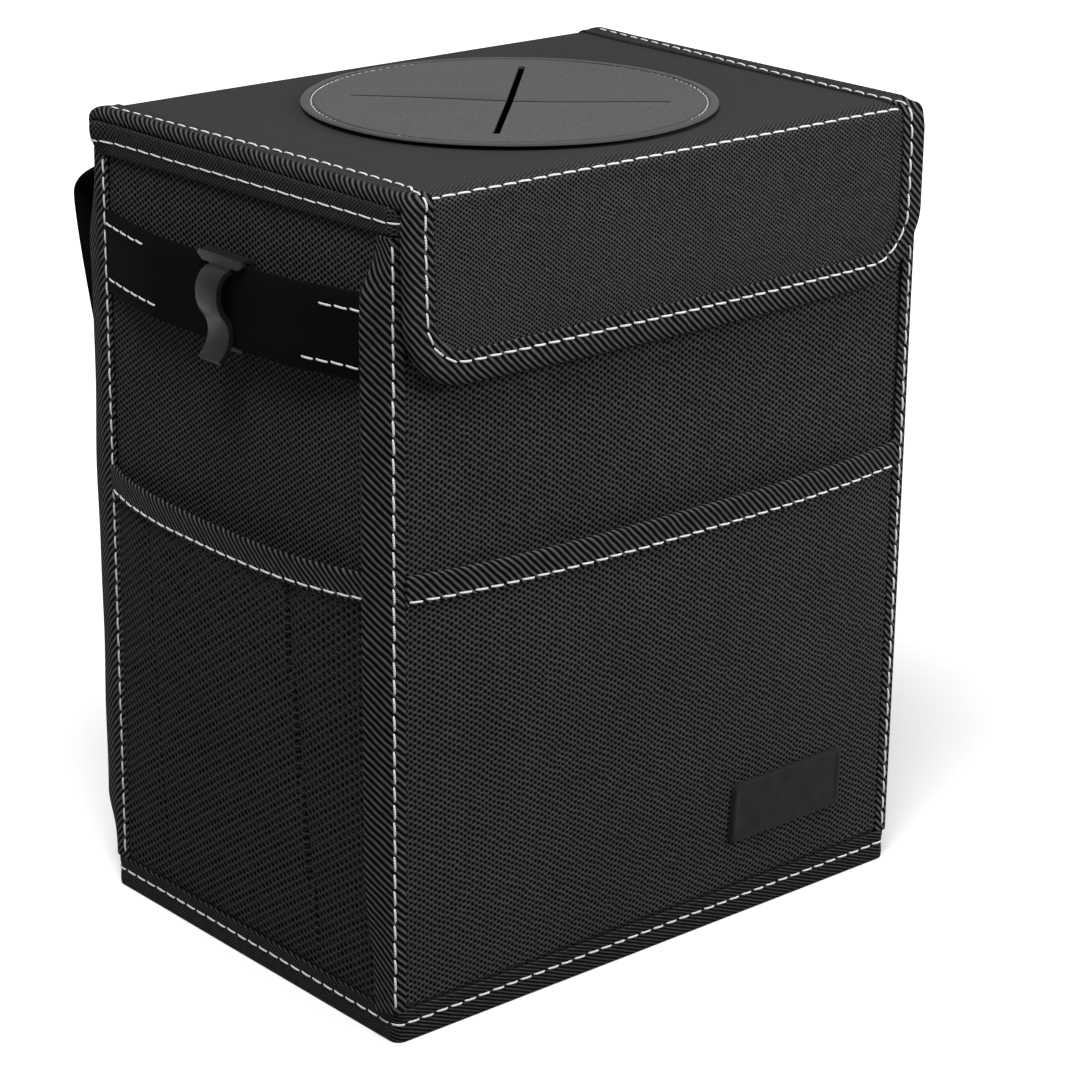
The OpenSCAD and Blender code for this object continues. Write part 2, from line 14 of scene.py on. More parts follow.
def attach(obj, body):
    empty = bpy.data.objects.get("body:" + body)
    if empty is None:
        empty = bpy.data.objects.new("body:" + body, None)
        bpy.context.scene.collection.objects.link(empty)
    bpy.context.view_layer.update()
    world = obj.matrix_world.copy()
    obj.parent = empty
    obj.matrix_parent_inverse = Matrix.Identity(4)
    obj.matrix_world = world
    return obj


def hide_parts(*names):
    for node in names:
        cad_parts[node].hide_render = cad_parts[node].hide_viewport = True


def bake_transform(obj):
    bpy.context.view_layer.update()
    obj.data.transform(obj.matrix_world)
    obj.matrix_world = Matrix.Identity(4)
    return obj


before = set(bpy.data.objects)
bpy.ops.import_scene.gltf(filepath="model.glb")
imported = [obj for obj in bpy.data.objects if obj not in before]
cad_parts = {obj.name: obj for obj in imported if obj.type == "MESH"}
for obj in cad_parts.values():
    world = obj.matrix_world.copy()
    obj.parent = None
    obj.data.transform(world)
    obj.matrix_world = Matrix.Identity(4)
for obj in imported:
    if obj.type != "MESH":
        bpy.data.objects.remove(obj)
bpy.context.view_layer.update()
MM = 0.001

# Sizes repeated from the part's source
HALF_W, HALF_D, BODY_H = 120.0, 84.0, 295.0
BASE_BAND, RIM_H = 12.0, 10.5
POCKET_H = 171.0
FRONT_HALF, SIDE_HALF = 115.4, 79.4
FRONT_SWELL, MESH_SWELL, MESH_SAG = 7.0, 9.0, 3.0
LID_TOP, LID_UNDER, LID_REAR = 300.3, 295.3, 86.4
FLAP_OUT, FLAP_LOW, FLAP_R = -89.9, 235.3, 24.0
DISC_X, DISC_Y, SLIT_R = -0.8, 0.2, 57.0
BACK_STRAP_X, BACK_WEB = 98.0, 25.0
WEB_Z, WEB_BOW, WEB_SLOPE = 249.7, 7.6, 41.0
ROD_Y, SOCKET_ROD_Z, PLUG_ROD_Z = 89.3, 152.3, 109.4
PATCH_W, PATCH_H, PATCH_T, PATCH_MID, PATCH_LOW = 57.0, 24.0, 2.0, 62.5, 32.0
PAD_W, PAD_H, PAD_X, PAD_Z = 42.0, 24.0, 60.0, 262.3

# Sizes that only the looks have. The first row holds thicknesses
CLOTH, WEBBING, LINER, DISC = 0.9, 1.4, 0.5, 1.0
PATCH_R, PAD_R, HOLE_R, DISC_SEAM_R = 1.6, 2.5, 62.0, 70.6
FOLD_Y, FOLD_Z, FOLD_R = -85.9, 296.3, 3.2

CORNERS = [(-1, -1), (1, -1), (1, 1), (-1, 1)]
LEFT, RIGHT, FORWARD = (-1, 0, 0), (1, 0, 0), (0, -1, 0)


def make_camera():
    """The photograph's camera, from the fit of the bin's corners."""
    azimuth, elevation, roll = (math.radians(a) for a in (41.0432, 19.6817, 0.6757))
    place, lens = (-0.77371, -0.90682, 0.56127), 113.2325
    forward = Vector((
        math.sin(azimuth) * math.cos(elevation),
        math.cos(azimuth) * math.cos(elevation),
        -math.sin(elevation),
    ))
    right = forward.cross(Vector((0, 0, 1))).normalized()
    up = right.cross(forward)
    turned = right * math.cos(roll) + up * math.sin(roll)
    up = up * math.cos(roll) - right * math.sin(roll)
    data = bpy.data.cameras.new("Camera")
    data.lens = lens
    data.sensor_width = 36
    data.clip_end = 20
    cam = bpy.data.objects.new("Camera", data)
    bpy.context.scene.collection.objects.link(cam)
    turn = Matrix((turned, up, -forward)).transposed().to_4x4()
    cam.matrix_world = Matrix.Translation(place) @ turn
    bpy.context.scene.camera = cam


make_camera()


# Small mathematics


def ease(t):
    t = np.clip(t, 0, 1)
    return t * t * (3 - 2 * t)


def spread(low, high, step):
    """Places from low to high, about step apart."""
    return np.linspace(low, high, max(2, round(abs(high - low) / step) + 1))


def ripple(a, b, seed, size, height):
    """Smooth unevenness of a cloth at the places a, b."""
    rng = np.random.default_rng(seed)
    total = np.zeros(np.broadcast(a, b).shape)
    for _ in range(7):
        turn, phase = rng.uniform(0, 2 * math.pi, 2)
        wave = size * rng.uniform(0.6, 1.7)
        total = total + np.sin((a * math.cos(turn) + b * math.sin(turn)) * 2 * math.pi / wave + phase)
    return total * height / 3


def curve(a, b, c, d, count):
    """Points on a cubic curve through its four control points."""
    t = np.linspace(0, 1, count)[:, None]
    a, b, c, d = (np.array(p, float) for p in (a, b, c, d))
    return (1 - t) ** 3 * a + 3 * (1 - t) ** 2 * t * b + 3 * (1 - t) * t * t * c + t ** 3 * d


def unit(v):
    return v / np.maximum(np.linalg.norm(v, axis=-1, keepdims=True), 1e-12)


def points_at(x, y, z):
    """Points from coordinates that numpy can broadcast together."""
    return np.stack(np.broadcast_arrays(x, y, z), -1)


def lengths(points, closed=False):
    """Distance along a line of points from its first one, and round to it again if closed."""
    points = np.asarray(points, float)
    ring = np.vstack([points, points[:1]]) if closed else points
    steps = np.linalg.norm(np.diff(ring, axis=0), axis=1)
    return np.concatenate([[0], np.cumsum(steps)])


def softened(section, times=2):
    """A closed section with its corners cut, so that it reads as folded cloth."""
    section = np.asarray(section, float)
    for _ in range(times):
        after = np.roll(section, -1, axis=0)
        section = np.stack([section * 0.78 + after * 0.22, section * 0.22 + after * 0.78], 1)
        section = section.reshape(-1, 2)
    return section


def resampled(points, step, closed=False):
    """The same line with points about step apart."""
    points = np.asarray(points, float)
    if closed:
        points = np.vstack([points, points[:1]])
    along = lengths(points)
    places = spread(0, along[-1], step)
    if closed:
        places = places[:-1]
    return np.stack([np.interp(places, along, points[:, k]) for k in range(points.shape[1])], 1)


# Mesh making


def mesh_from(name, points, quads, uv):
    """An object from points in millimetres, quads and one UV place in metres per corner."""
    mesh = bpy.data.meshes.new(name)
    mesh.vertices.add(len(points))
    mesh.vertices.foreach_set("co", (points * MM).astype(np.float32).ravel())
    mesh.loops.add(quads.size)
    mesh.loops.foreach_set("vertex_index", quads.astype(np.int32).ravel())
    mesh.polygons.add(len(quads))
    mesh.polygons.foreach_set("loop_start", np.arange(0, quads.size, 4, dtype=np.int32))
    mesh.polygons.foreach_set("use_smooth", np.ones(len(quads), bool))
    mesh.uv_layers.new(name="UVMap").data.foreach_set("uv", uv.astype(np.float32).ravel())
    mesh.update(calc_edges=True)
    mesh.validate()
    made = bpy.data.objects.new(name, mesh)
    bpy.context.scene.collection.objects.link(made)
    return made


def skin(name, grid, us, vs, closed_u=False, closed_v=False, flip=False):
    """A mesh over a grid of points. us and vs are the cloth's own places of its rows and columns;
    vs may also hold a row of places for each of us."""
    nu, nv = grid.shape[:2]
    i, j = np.meshgrid(
        np.arange(nu if closed_u else nu - 1), np.arange(nv if closed_v else nv - 1), indexing="ij"
    )
    corners = [(i, j), (i + 1, j), (i + 1, j + 1), (i, j + 1)]
    if flip:
        corners.reverse()
    quads = np.stack([(a % nu) * nv + b % nv for a, b in corners], -1).reshape(-1, 4)
    us, vs = np.asarray(us, float), np.asarray(vs, float)
    us = us if us.ndim == 2 else us[:, None] * np.ones(vs.shape[-1])
    vs = np.broadcast_to(vs, us.shape)
    uv = np.stack([np.stack([us[a, b], vs[a, b]], -1) for a, b in corners], 2).reshape(-1, 2)
    return mesh_from(name, grid.reshape(-1, 3), quads, uv * MM)


def edit(made, action):
    """Runs action on the object's bmesh and writes it back."""
    bm = bmesh.new()
    bm.from_mesh(made.data)
    action(bm)
    bm.to_mesh(made.data)
    bm.free()
    made.data.update()
    return made


def turn_out(bm):
    bmesh.ops.recalc_face_normals(bm, faces=bm.faces)


def capped(made):
    """Closes the open ends of a band."""
    def close(bm):
        bmesh.ops.holes_fill(bm, edges=[e for e in bm.edges if e.is_boundary], sides=0)
        turn_out(bm)
    edit(made, close)
    made.data.set_sharp_from_angle(angle=math.radians(50))
    return made


def facing(made, way):
    """Turns all faces of a sheet to one side, the one where its lowest face looks along way."""
    def turn(bm):
        turn_out(bm)
        lowest = min(bm.faces, key=lambda f: f.calc_center_median().z)
        if lowest.normal.dot(Vector(way)) < 0:
            bmesh.ops.reverse_faces(bm, faces=bm.faces)
    return edit(made, turn)


def welded(made, distance):
    """Joins points nearer than distance, in metres, and drops what has no area then."""
    def weld(bm):
        bmesh.ops.remove_doubles(bm, verts=bm.verts, dist=distance)
        bmesh.ops.dissolve_degenerate(bm, edges=bm.edges, dist=0.00002)
    return edit(made, weld)


def lay_flat(made, places):
    """Sets the cloth's own place of every corner from the places of the mesh's points."""
    loops = np.empty(len(made.data.loops), np.int32)
    made.data.loops.foreach_get("vertex_index", loops)
    uv = places.reshape(-1, 2)[loops] * MM
    made.data.uv_layers[0].data.foreach_set("uv", uv.astype(np.float32).ravel())


def thickened(made, thickness):
    """Gives a one-sided sheet its thickness, behind its face, and keeps the result."""
    modifier = made.modifiers.new("Thickness", "SOLIDIFY")
    modifier.thickness = thickness * MM
    modifier.offset = -1
    graph = bpy.context.evaluated_depsgraph_get()
    mesh = bpy.data.meshes.new_from_object(made.evaluated_get(graph))
    made.modifiers.clear()
    made.data = mesh
    mesh.set_sharp_from_angle(angle=math.radians(50))
    return made


def mirrored(grid):
    return grid * np.array([-1.0, 1, 1])


def carried(path, side, up, section):
    """A section's points carried along a path. side and up are its two directions there."""
    section = np.asarray(section, float)
    if section.ndim == 2:
        section = section[None]
    across = section[..., 0:1] * side[:, None, :]
    return path[:, None, :] + across + section[..., 1:2] * up[:, None, :]


def rounded(wide, tall, radius, step):
    """Outline of a plate with round corners."""
    ring = []
    for k, (sx, sy) in enumerate(CORNERS):
        for a in np.radians(180 + 90 * k + np.linspace(0, 90, 6)):
            x, y = sx * (wide / 2 - radius), sy * (tall / 2 - radius)
            ring.append((x + radius * math.cos(a), y + radius * math.sin(a)))
    return resampled(ring, step, closed=True)


# Materials


class Net:
    """Short calls to add and join the nodes of a material or of the world."""

    def __init__(self, owner, shader="Principled BSDF", **settings):
        owner.use_nodes = True
        self.owner = owner
        self.tree = owner.node_tree
        self.shader = self.tree.nodes[shader]
        for socket, value in settings.items():
            self.give(socket.replace("_", " "), value)

    def node(self, kind, inputs=(), **settings):
        made = self.tree.nodes.new(kind)
        for key, value in settings.items():
            setattr(made, key, value)
        for socket, value in dict(inputs).items():
            self.feed(made.inputs[socket], value)
        return made

    def feed(self, socket, value):
        if isinstance(value, bpy.types.NodeSocket):
            self.tree.links.new(value, socket)
        else:
            socket.default_value = value

    def give(self, socket, value):
        self.feed(self.shader.inputs[socket], value)

    def maths(self, operation, *values):
        return self.node("ShaderNodeMath", dict(enumerate(values)), operation=operation).outputs[0]

    def plus(self, a, b):
        return self.maths("ADD", a, b)

    def less(self, a, b):
        return self.maths("SUBTRACT", a, b)

    def times(self, a, b):
        return self.maths("MULTIPLY", a, b)

    def over(self, a, b):
        return self.maths("DIVIDE", a, b)

    def line(self, value, slope, start):
        return self.maths("MULTIPLY_ADD", value, slope, start)

    def uv(self):
        split = self.node("ShaderNodeSeparateXYZ", {0: self.node("ShaderNodeUVMap").outputs[0]})
        return split.outputs[0], split.outputs[1]

    def place(self):
        return self.node("ShaderNodeTexCoord").outputs["Object"]

    def noise(self, scale, detail):
        inputs = {"Vector": self.place(), "Scale": scale, "Detail": detail}
        return self.node("ShaderNodeTexNoise", inputs).outputs[0]

    def ramp(self, value, low, high, to_low=0.0, to_high=1.0):
        return self.node("ShaderNodeMapRange", {
            "Value": value, "From Min": low, "From Max": high, "To Min": to_low, "To Max": to_high,
        }).outputs[0]

    def uneven(self, scale, detail, low, high, share=0.7):
        """From low to high over the surface, as a noise goes from 0.3 to share."""
        return self.ramp(self.noise(scale, detail), 0.3, share, low, high)

    def blend(self, share, first, second):
        inputs = {0: share, 6: first, 7: second}
        return self.node("ShaderNodeMix", inputs, data_type="RGBA").outputs[2]

    def wave(self, value):
        """0 to 1, once over each whole step of value."""
        return self.line(self.maths("COSINE", self.times(value, 2 * math.pi)), 0.5, 0.5)

    def drift(self, scale):
        """How far the yarns of a cloth stray from their straight line."""
        return self.times(self.less(self.noise(scale, 2), 0.5), 0.0016)

    def bump(self, height, distance):
        inputs = {"Height": height, "Distance": distance, "Strength": 1.0}
        self.give("Normal", self.node("ShaderNodeBump", inputs).outputs[0])

    def colour(self, value):
        self.give("Base Color", value)

    def rough(self, value):
        self.give("Roughness", value)

    def painted_shade_and_wear(self, yarn, low, high):
        """Base colour from the yarn's height: darker where it is low, a painted shade in the gaps, and
        lighter where it is high, a painted sheen on the tops, with slow uneven fading over the cloth.
        """
        patches = self.ramp(self.noise(22, 4), 0.35, 0.7, 0.95, 1.05)
        level = self.times(self.times(patches, self.uneven(2600, 2, 0.9, 1.1)), yarn)
        self.colour(self.blend(level, grey(low), grey(high)))


def grey(level, tint=0.0):
    """A grey by its linear level, a little warmer or cooler by tint."""
    return (level * (1 + tint), level, level * (1 - tint), 1)


def material(name, **settings):
    return Net(bpy.data.materials.new(name), **settings)


def woven(name, low, high, cell=(1.742, 1.136), depth=0.0003):
    """Plain weave: yarns float over every other cell, and the cells between them are gaps. The colour paints
    shade into the gaps and a sheen onto the yarns' tops.
    """
    net = material(name, Specular_IOR_Level=0.02)
    drift = net.drift(140)
    columns, rows = (
        net.maths("COSINE", net.times(net.plus(place, drift), math.pi / (size * MM)))
        for place, size in zip(net.uv(), cell)
    )
    gap, seam = net.times(columns, rows), net.times(columns, columns)
    yarn = net.maths("MAXIMUM", net.less(net.line(gap, -0.42, 0.64), net.times(seam, 0.24)), 0.0)
    # Colour from the yarns' height: painted shade in the gaps, a painted sheen on the tops.
    net.painted_shade_and_wear(net.times(net.maths("POWER", yarn, 2.6), net.uneven(420, 2, 0.8, 1.2)), low, high)
    net.rough(net.ramp(yarn, 0, 1, 0.95, 0.8))
    net.bump(net.line(gap, -0.5, 0.5), depth)
    return net.owner


def ribbed(name, low, high, pitch=2.92, slant=1.0, depth=0.0004):
    """Twill tape: slanting ribs, each of fine cross threads. Where a mesh has the attribute plain,
    the tape is pulled flat and shows none."""
    net = material(name, Specular_IOR_Level=0.02)
    u, v = net.uv()
    slanting = net.plus(net.plus(u, net.drift(110)), net.times(v, slant))
    plain = net.node("ShaderNodeAttribute", attribute_name="plain").outputs["Fac"]
    rib = net.ramp(plain, 0, 1, net.wave(net.over(slanting, pitch * MM)), 0.55)
    thread = net.wave(net.over(net.less(u, v), pitch * 0.38 * MM))
    # Colour from the ribs: their crests are painted lighter and their hollows darker, a painted highlight
    # and painted shade.
    level = net.times(net.maths("POWER", rib, 2.2), net.line(thread, 0.3, 0.75))
    net.painted_shade_and_wear(net.times(level, net.uneven(350, 2, 0.75, 1.25)), low, high)
    net.rough(0.8)
    net.bump(net.line(thread, 0.15, rib), depth)
    return net.owner


def webbing_look():
    net = material("webbing", Specular_IOR_Level=0.02)
    u, v = net.uv()
    a, b = net.over(u, 1.5 * MM), net.over(v, 1.5 * MM)
    rows = net.wave(net.over(v, 2.4 * MM))
    there = net.times(net.wave(net.plus(a, b)), rows)
    back = net.times(net.wave(net.less(a, b)), net.less(1.0, rows))
    yarn = net.maths("MAXIMUM", there, back)
    net.painted_shade_and_wear(net.line(yarn, 0.3, 0.5), 0.002, 0.005)
    net.rough(0.9)
    net.bump(yarn, 0.00006)
    return net.owner


def leather_look():
    net = material("leatherette", Specular_IOR_Level=0.12)
    grain = net.node("ShaderNodeTexVoronoi", {"Vector": net.place(), "Scale": 1300.0}).outputs[0]
    pores = net.noise(700, 5)
    height = net.line(pores, 0.6, grain)
    level = net.times(net.ramp(height, 0.2, 1.1, 0.8, 1.0), net.uneven(30, 4, 0.9, 1.08))
    net.colour(net.blend(level, grey(0.01), grey(0.05, -0.01)))
    net.rough(net.ramp(pores, 0.3, 0.7, 0.5, 0.64))
    net.bump(height, 0.00006)
    return net.owner


def plastic_look(name, level, roughness=0.42, grain=0.00003):
    net = material(name, Specular_IOR_Level=0.12)
    net.colour(net.blend(net.uneven(60, 3, 0.85, 1.1), grey(level * 0.5), grey(level)))
    net.rough(net.uneven(160, 3, roughness - 0.06, roughness + 0.08))
    net.bump(net.noise(900, 3), grain)
    return net.owner


def thread_look():
    net = material("thread", Specular_IOR_Level=0.1)
    u, v = net.uv()
    twist = net.wave(net.plus(net.over(u, 0.9 * MM), net.over(v, 2.8 * MM)))
    level = net.times(net.line(twist, 0.2, 0.8), net.uneven(300, 3, 1.0, 0.84, share=0.75))
    net.colour(net.blend(level, grey(0.3), grey(0.8, 0.01)))
    net.rough(0.65)
    net.bump(twist, 0.00008)
    return net.owner


def liner_look():
    net = material("liner", Specular_IOR_Level=0.3)
    creases = net.noise(60, 5)
    net.colour(net.blend(creases, grey(0.022, -0.03), grey(0.045, -0.03)))
    net.rough(net.ramp(creases, 0.3, 0.7, 0.32, 0.5))
    net.bump(net.line(net.noise(1200, 2), 0.06, creases), 0.0016)
    return net.owner


def mesh_look():
    net = material("mesh_cloth", Specular_IOR_Level=0.05)
    strands = net.noise(2400, 3)
    net.painted_shade_and_wear(net.ramp(strands, 0.3, 0.7, 0.6, 1.0), 0.003, 0.037)
    net.rough(0.72)
    net.bump(strands, 0.00012)
    return net.owner


def hooks_look():
    net = material("closure", Specular_IOR_Level=0.05, Sheen_Weight=0.1)
    loops = net.noise(3200, 4)
    net.painted_shade_and_wear(net.ramp(loops, 0.3, 0.7, 0.3, 1.0), 0.002, 0.022)
    net.rough(0.9)
    net.bump(loops, 0.0005)
    return net.owner


def board_look():
    net = material("board", Specular_IOR_Level=0.3)
    flakes = net.noise(240, 6)
    net.colour(net.blend(flakes, grey(0.05, 0.1), grey(0.11, 0.12)))
    net.rough(0.8)
    net.bump(flakes, 0.0002)
    return net.owner


LOOKS = {
    "oxford": woven("oxford", 0.001, 0.122),
    "flap_oxford": woven("flap_oxford", 0.001, 0.133, cell=(1.171, 0.833)),
    "rim_oxford": woven("rim_oxford", 0.002, 0.09, cell=(0.9, 0.7), depth=0.0001),
    "lid_cloth": woven("lid_cloth", 0.0275, 0.057, cell=(1.171, 0.833), depth=0.00005),
    "tape": ribbed("tape", 0.001, 0.113),
    "base_tape": ribbed("base_tape", 0.003, 0.06, pitch=3.5, slant=2.5, depth=0.0002),
    "webbing": webbing_look(),
    "leatherette": leather_look(),
    "plastic": plastic_look("plastic", 0.011),
    "patch_rubber": plastic_look("patch_rubber", 0.011, 0.75, 0.00005),
    "thread": thread_look(),
    "liner": liner_look(),
    "mesh_cloth": mesh_look(),
    "closure": hooks_look(),
    "board": board_look(),
}


def dress(made, look):
    made.data.materials.clear()
    made.data.materials.append(LOOKS[look])
    return made


# Forms that several pieces share


def swell(u, z, half, out):
    """How far a pocket stands out from its wall at u across and z up."""
    rise = np.clip((z - BASE_BAND) / (POCKET_H - BASE_BAND), 0, 1)
    side = 1 - np.clip(np.abs(u) / half, 0, 1) ** 2.6
    return out * side * np.sin(math.pi / 2 * rise) ** 0.8


def pocket_edge(u):
    """How far the front pocket's top tape lies above its plain height."""
    return 0.9 * np.abs(u / FRONT_HALF) ** 4 - 0.6


def front_place(u, z, off):
    """A point on the front pocket's cloth, off outside its inner face."""
    return points_at(u, -HALF_D - swell(u, z, FRONT_HALF, FRONT_SWELL) - off, z)


def pleats(y, z):
    """Folds pressed into a mesh pocket: a strong one towards the front and a faint one."""
    share = (z - BASE_BAND) / (POCKET_H - BASE_BAND)
    strong, faint = 9 * share - 42 - y, 50 - y
    before = -1.7 * np.exp(-strong / 6)
    behind = 0.35 * np.exp(strong / 5) - 2.05 * ease(1 + strong / 0.9)
    slight = -0.5 * np.exp(-(faint / 2.5) ** 2) - 0.4 * np.exp(-np.clip(faint, 0, 99) / 9) * (faint > 0)
    return (np.where(strong > 0, before, behind) + slight) * ease(share / 0.12)


def side_place(y, z, off, folded=True):
    """A point on the left mesh pocket's cloth. Its top edge dips towards its middle."""
    share = (z - BASE_BAND) / (POCKET_H - BASE_BAND)
    dip = (MESH_SAG * (1 - (y / SIDE_HALF) ** 2) + 2.2 * ease((y - 10) / 70)) * ease(share)
    out = swell(y, z, SIDE_HALF, MESH_SWELL)
    crease = np.maximum(pleats(y, z) if folded else 0, -out * 0.75)
    return points_at(-HALF_W - out - crease - off, y, z - dip)


def draped(points):
    """The lid and flap as they settle. The lid's top falls towards the rear, the flap leans out
    and sags a little, and the fold's right end is rounder than the rest."""
    x, y, z = points[..., 0], points[..., 1], points[..., 2]
    hanging = ease((-84.5 - y) / 1.8)
    lean = 1.3 * (1 - ease((x - 20) / 90)) * ease((298 - z) / 45)
    lean = lean - 1.4 * ease((x - 88) / 22) * ease((262 - z) / 14)
    top = np.maximum(np.clip((z - 295.3) / 4.2, 0, 1), hanging)
    tilt = (0.4 - np.clip((y + 85) / 165, 0, 1)) * top
    sag = (1 - np.clip(np.abs(x) / 112, 0, 1) ** 2) * ease((250 - z) / 12) * hanging
    wider = ease((-x - 100) / 18) * ease((299 - z) / 10) * hanging
    out, over = -78 - y, z - 290.4
    turn = np.clip(np.arctan2(over, out), 0, math.pi / 2)
    inward = 1.6 * ease((x - 100) / 16) * np.sin(2 * turn) ** 1.5 * ease((np.hypot(out, over) - 7) / 3)
    return np.stack([
        x - wider, y - lean * hanging + inward * np.cos(turn), z + tilt - sag - inward * np.sin(turn)
    ], -1)


def footprint(offset, step, radius=2.5):
    """The bin's outline seen from above: points, and the outward direction at each."""
    core = np.array([HALF_W - radius, HALF_D - radius])
    points, outward = [], []
    for k, corner in enumerate(CORNERS):
        for angle in math.radians(180 + 90 * k) + np.linspace(0, 1, 7) * math.pi / 2:
            n = np.array([math.cos(angle), math.sin(angle)])
            points.append(core * corner + n * (radius + offset))
            outward.append(n)
        # The last direction of a corner is also that of the straight side after it
        start, end = points[-1], core * CORNERS[(k + 1) % 4] + n * (radius + offset)
        for t in spread(0, 1, step / np.linalg.norm(end - start))[1:-1]:
            points.append(start + (end - start) * t)
            outward.append(n)
    return np.array(points), np.array(outward)


def wrapped(plan, outward, out, z):
    """Places of a sheet round the bin, out from its outline, at the heights z."""
    x, y = (plan[:, k:k + 1] + outward[:, k:k + 1] * out for k in (0, 1))
    return points_at(x, y, z)


def upright_band(name, section, step, seed, shape=None):
    """A band all round the bin, with a section of (distance out from the wall, height)."""
    plan, outward = footprint(0, step)
    around = lengths(plan, closed=True)
    path, out = (np.column_stack([a, np.zeros(len(plan))]) for a in (plan, outward))
    turn = around[:-1] / around[-1] * 2 * math.pi
    loose = 0.12 * (1 + ripple(np.cos(turn) * 200, np.sin(turn) * 200, seed, 90, 1)) / 2
    up = np.tile([0.0, 0, 1], (len(plan), 1))
    shaped = np.array(section if np.ndim(section) == 3 else [section] * len(plan))
    shaped[..., 0] += loose[:, None] * (shaped[..., 0] > 0.6)
    grid = carried(path, out, up, shaped)
    if shape:
        grid = np.where(shaped[..., :1] > 0, shape(grid), grid)
    return skin(name, grid, around, lengths(grid[0], closed=True), closed_u=True, closed_v=True, flip=True)


# Walls, bottom and liner


def wall_bulge(u, z, half, seed):
    free = ease((z - 150) / 50) * ease((286 - z) / 50) * (1 - np.clip(np.abs(u) / half, 0, 1) ** 4)
    return 0.06 + np.maximum(free * (0.9 + ripple(u, z, seed, 70, 0.45)), 0)


def make_walls():
    plan, outward = footprint(0, 5, radius=1.2)
    z = spread(0.6, 293.8, 5)
    on_side = np.abs(outward[:, 0:1]) > 0.5
    u, half = np.where(on_side, plan[:, 1:2], plan[:, 0:1]), np.where(on_side, HALF_D, HALF_W)
    grid = wrapped(plan, outward, wall_bulge(u, z[None], half, 5), z)
    made = thickened(skin("wall_cloth", grid, lengths(plan, closed=True), z, closed_u=True), CLOTH)
    dress(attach(made, "root"), "oxford")
    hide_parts("front_panel", "back_panel", "left_panel", "right_panel")


def make_bottom():
    x, y = spread(-119.6, 119.6, 8), spread(-83.6, 83.6, 8)
    made = skin("base_cloth", points_at(x[:, None], y, 0.05), x, y, flip=True)
    thickened(made, CLOTH)
    dress(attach(made, "root"), "oxford")
    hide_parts("base_panel")


def make_liner():
    """Waterproof inner bag: it follows the boards loosely and ends under the rim's fold."""
    plan, outward = footprint(-4.1, 6, radius=6)
    around = lengths(plan, closed=True)
    z = np.concatenate([spread(293.8, 6, 7), [4.3, 3.9]])
    shrink = np.concatenate([np.zeros(len(z) - 2), [1.0, 6.0]])
    loose = 0.9 + ripple(around[:-1, None], z[None], 9, 60, 0.8)
    loose = np.clip(loose, 0, 3) * ease((293 - z) / 40) * ease((z - 3) / 30)
    made = skin("liner_cloth", wrapped(plan, outward, -loose - shrink, z), around, -z, closed_u=True)

    def close_bottom(bm):
        low = [e for e in bm.edges if e.is_boundary and max(v.co.z for v in e.verts) < 0.02]
        bmesh.ops.holes_fill(bm, edges=low, sides=0)

    thickened(facing(edit(made, close_bottom), (0, 0, 1)), LINER)
    dress(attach(made, "root"), "liner")
    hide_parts("liner")


# Bindings


def ear(points, reach=3.2):
    """The rim's rear corners stand out sideways over the seam flanges there."""
    x, y, z = points[..., 0], points[..., 1], points[..., 2]
    near = ease((y - 72) / 12) * ease((np.abs(x) - 120.3) / 1.2) * ease((z - 283) / 9)
    return points_at(x + np.sign(x) * reach * near, y, z)


def toward_front(y):
    """1 at the bin's front, 0 at its rear."""
    return np.clip((HALF_D - y) / (2 * HALF_D), 0, 1)


def make_bands():
    plan, outward = footprint(0, 1.5)
    forward = toward_front(plan[:, 1])
    beside = ease((np.abs(outward[:, 0]) - 0.5) / 0.5)
    low = 284.4 + 3.3 * forward
    top = 295.2 + (1.0 + 0.9 * forward) * beside
    level = [
        (0.07, low), (1.45, low - 0.2), (1.8, low + 0.8), (1.55, low + 4.6), (1.8, top - 2.2),
        (1.6, top - 0.6), (1.0, top), (0.4, top - 0.5), (0.25, 295.1), (-3.8, 295.1), (-4.9, 294.4),
        (-5.0, 291), (-4.9, 284.5), (-4.1, 284.5), (-4.05, 294.0), (0.02, 294.0),
    ]
    heights = np.stack([np.broadcast_to(z, len(plan)) for _, z in level], 1)
    outs = [out for out, _ in level]
    sections = [softened(np.column_stack([outs, row])) for row in heights]
    rim = upright_band("rim_tape", sections, 1.5, 3, ear)
    dress(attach(rim, "root"), "rim_oxford")
    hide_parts("rim_band")
    base = upright_band("base_tape", softened([
        (0.07, 0.05), (1.1, 0.02), (1.6, 0.5), (1.7, 3), (1.35, 7), (1.75, 10), (1.8, 11.5),
        (1.4, 12.1), (0.07, 12.0),
    ]), 0.9, 4)
    dress(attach(base, "root"), "base_tape")
    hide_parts("base_binding")


def corner_section(lean, reach, leg):
    """Section of a bound seam: a short leg on the wall and a flange that leans out by an angle."""
    lean = math.radians(lean)
    toward = np.array([-math.sin(lean), math.cos(lean)])
    inward = np.array([math.cos(lean), math.sin(lean)]) * 1.1
    root = np.array([-1.1, 0.0])
    tip = root + toward * reach
    mid = (root + tip) / 2
    return np.array([
        (leg, -0.75), (leg + 0.15, -1.15), (leg - 0.5, -1.45), (leg * 0.5, -1.4), (0, -1.35),
        (-1.6, -0.9), root - inward, mid - inward * 1.12, tip - inward * 0.9, tip + toward * 0.6,
        tip + inward * 0.9, mid + inward * 1.05, root + inward, (0.08, 0.08), (leg * 0.5, 0.06),
    ])


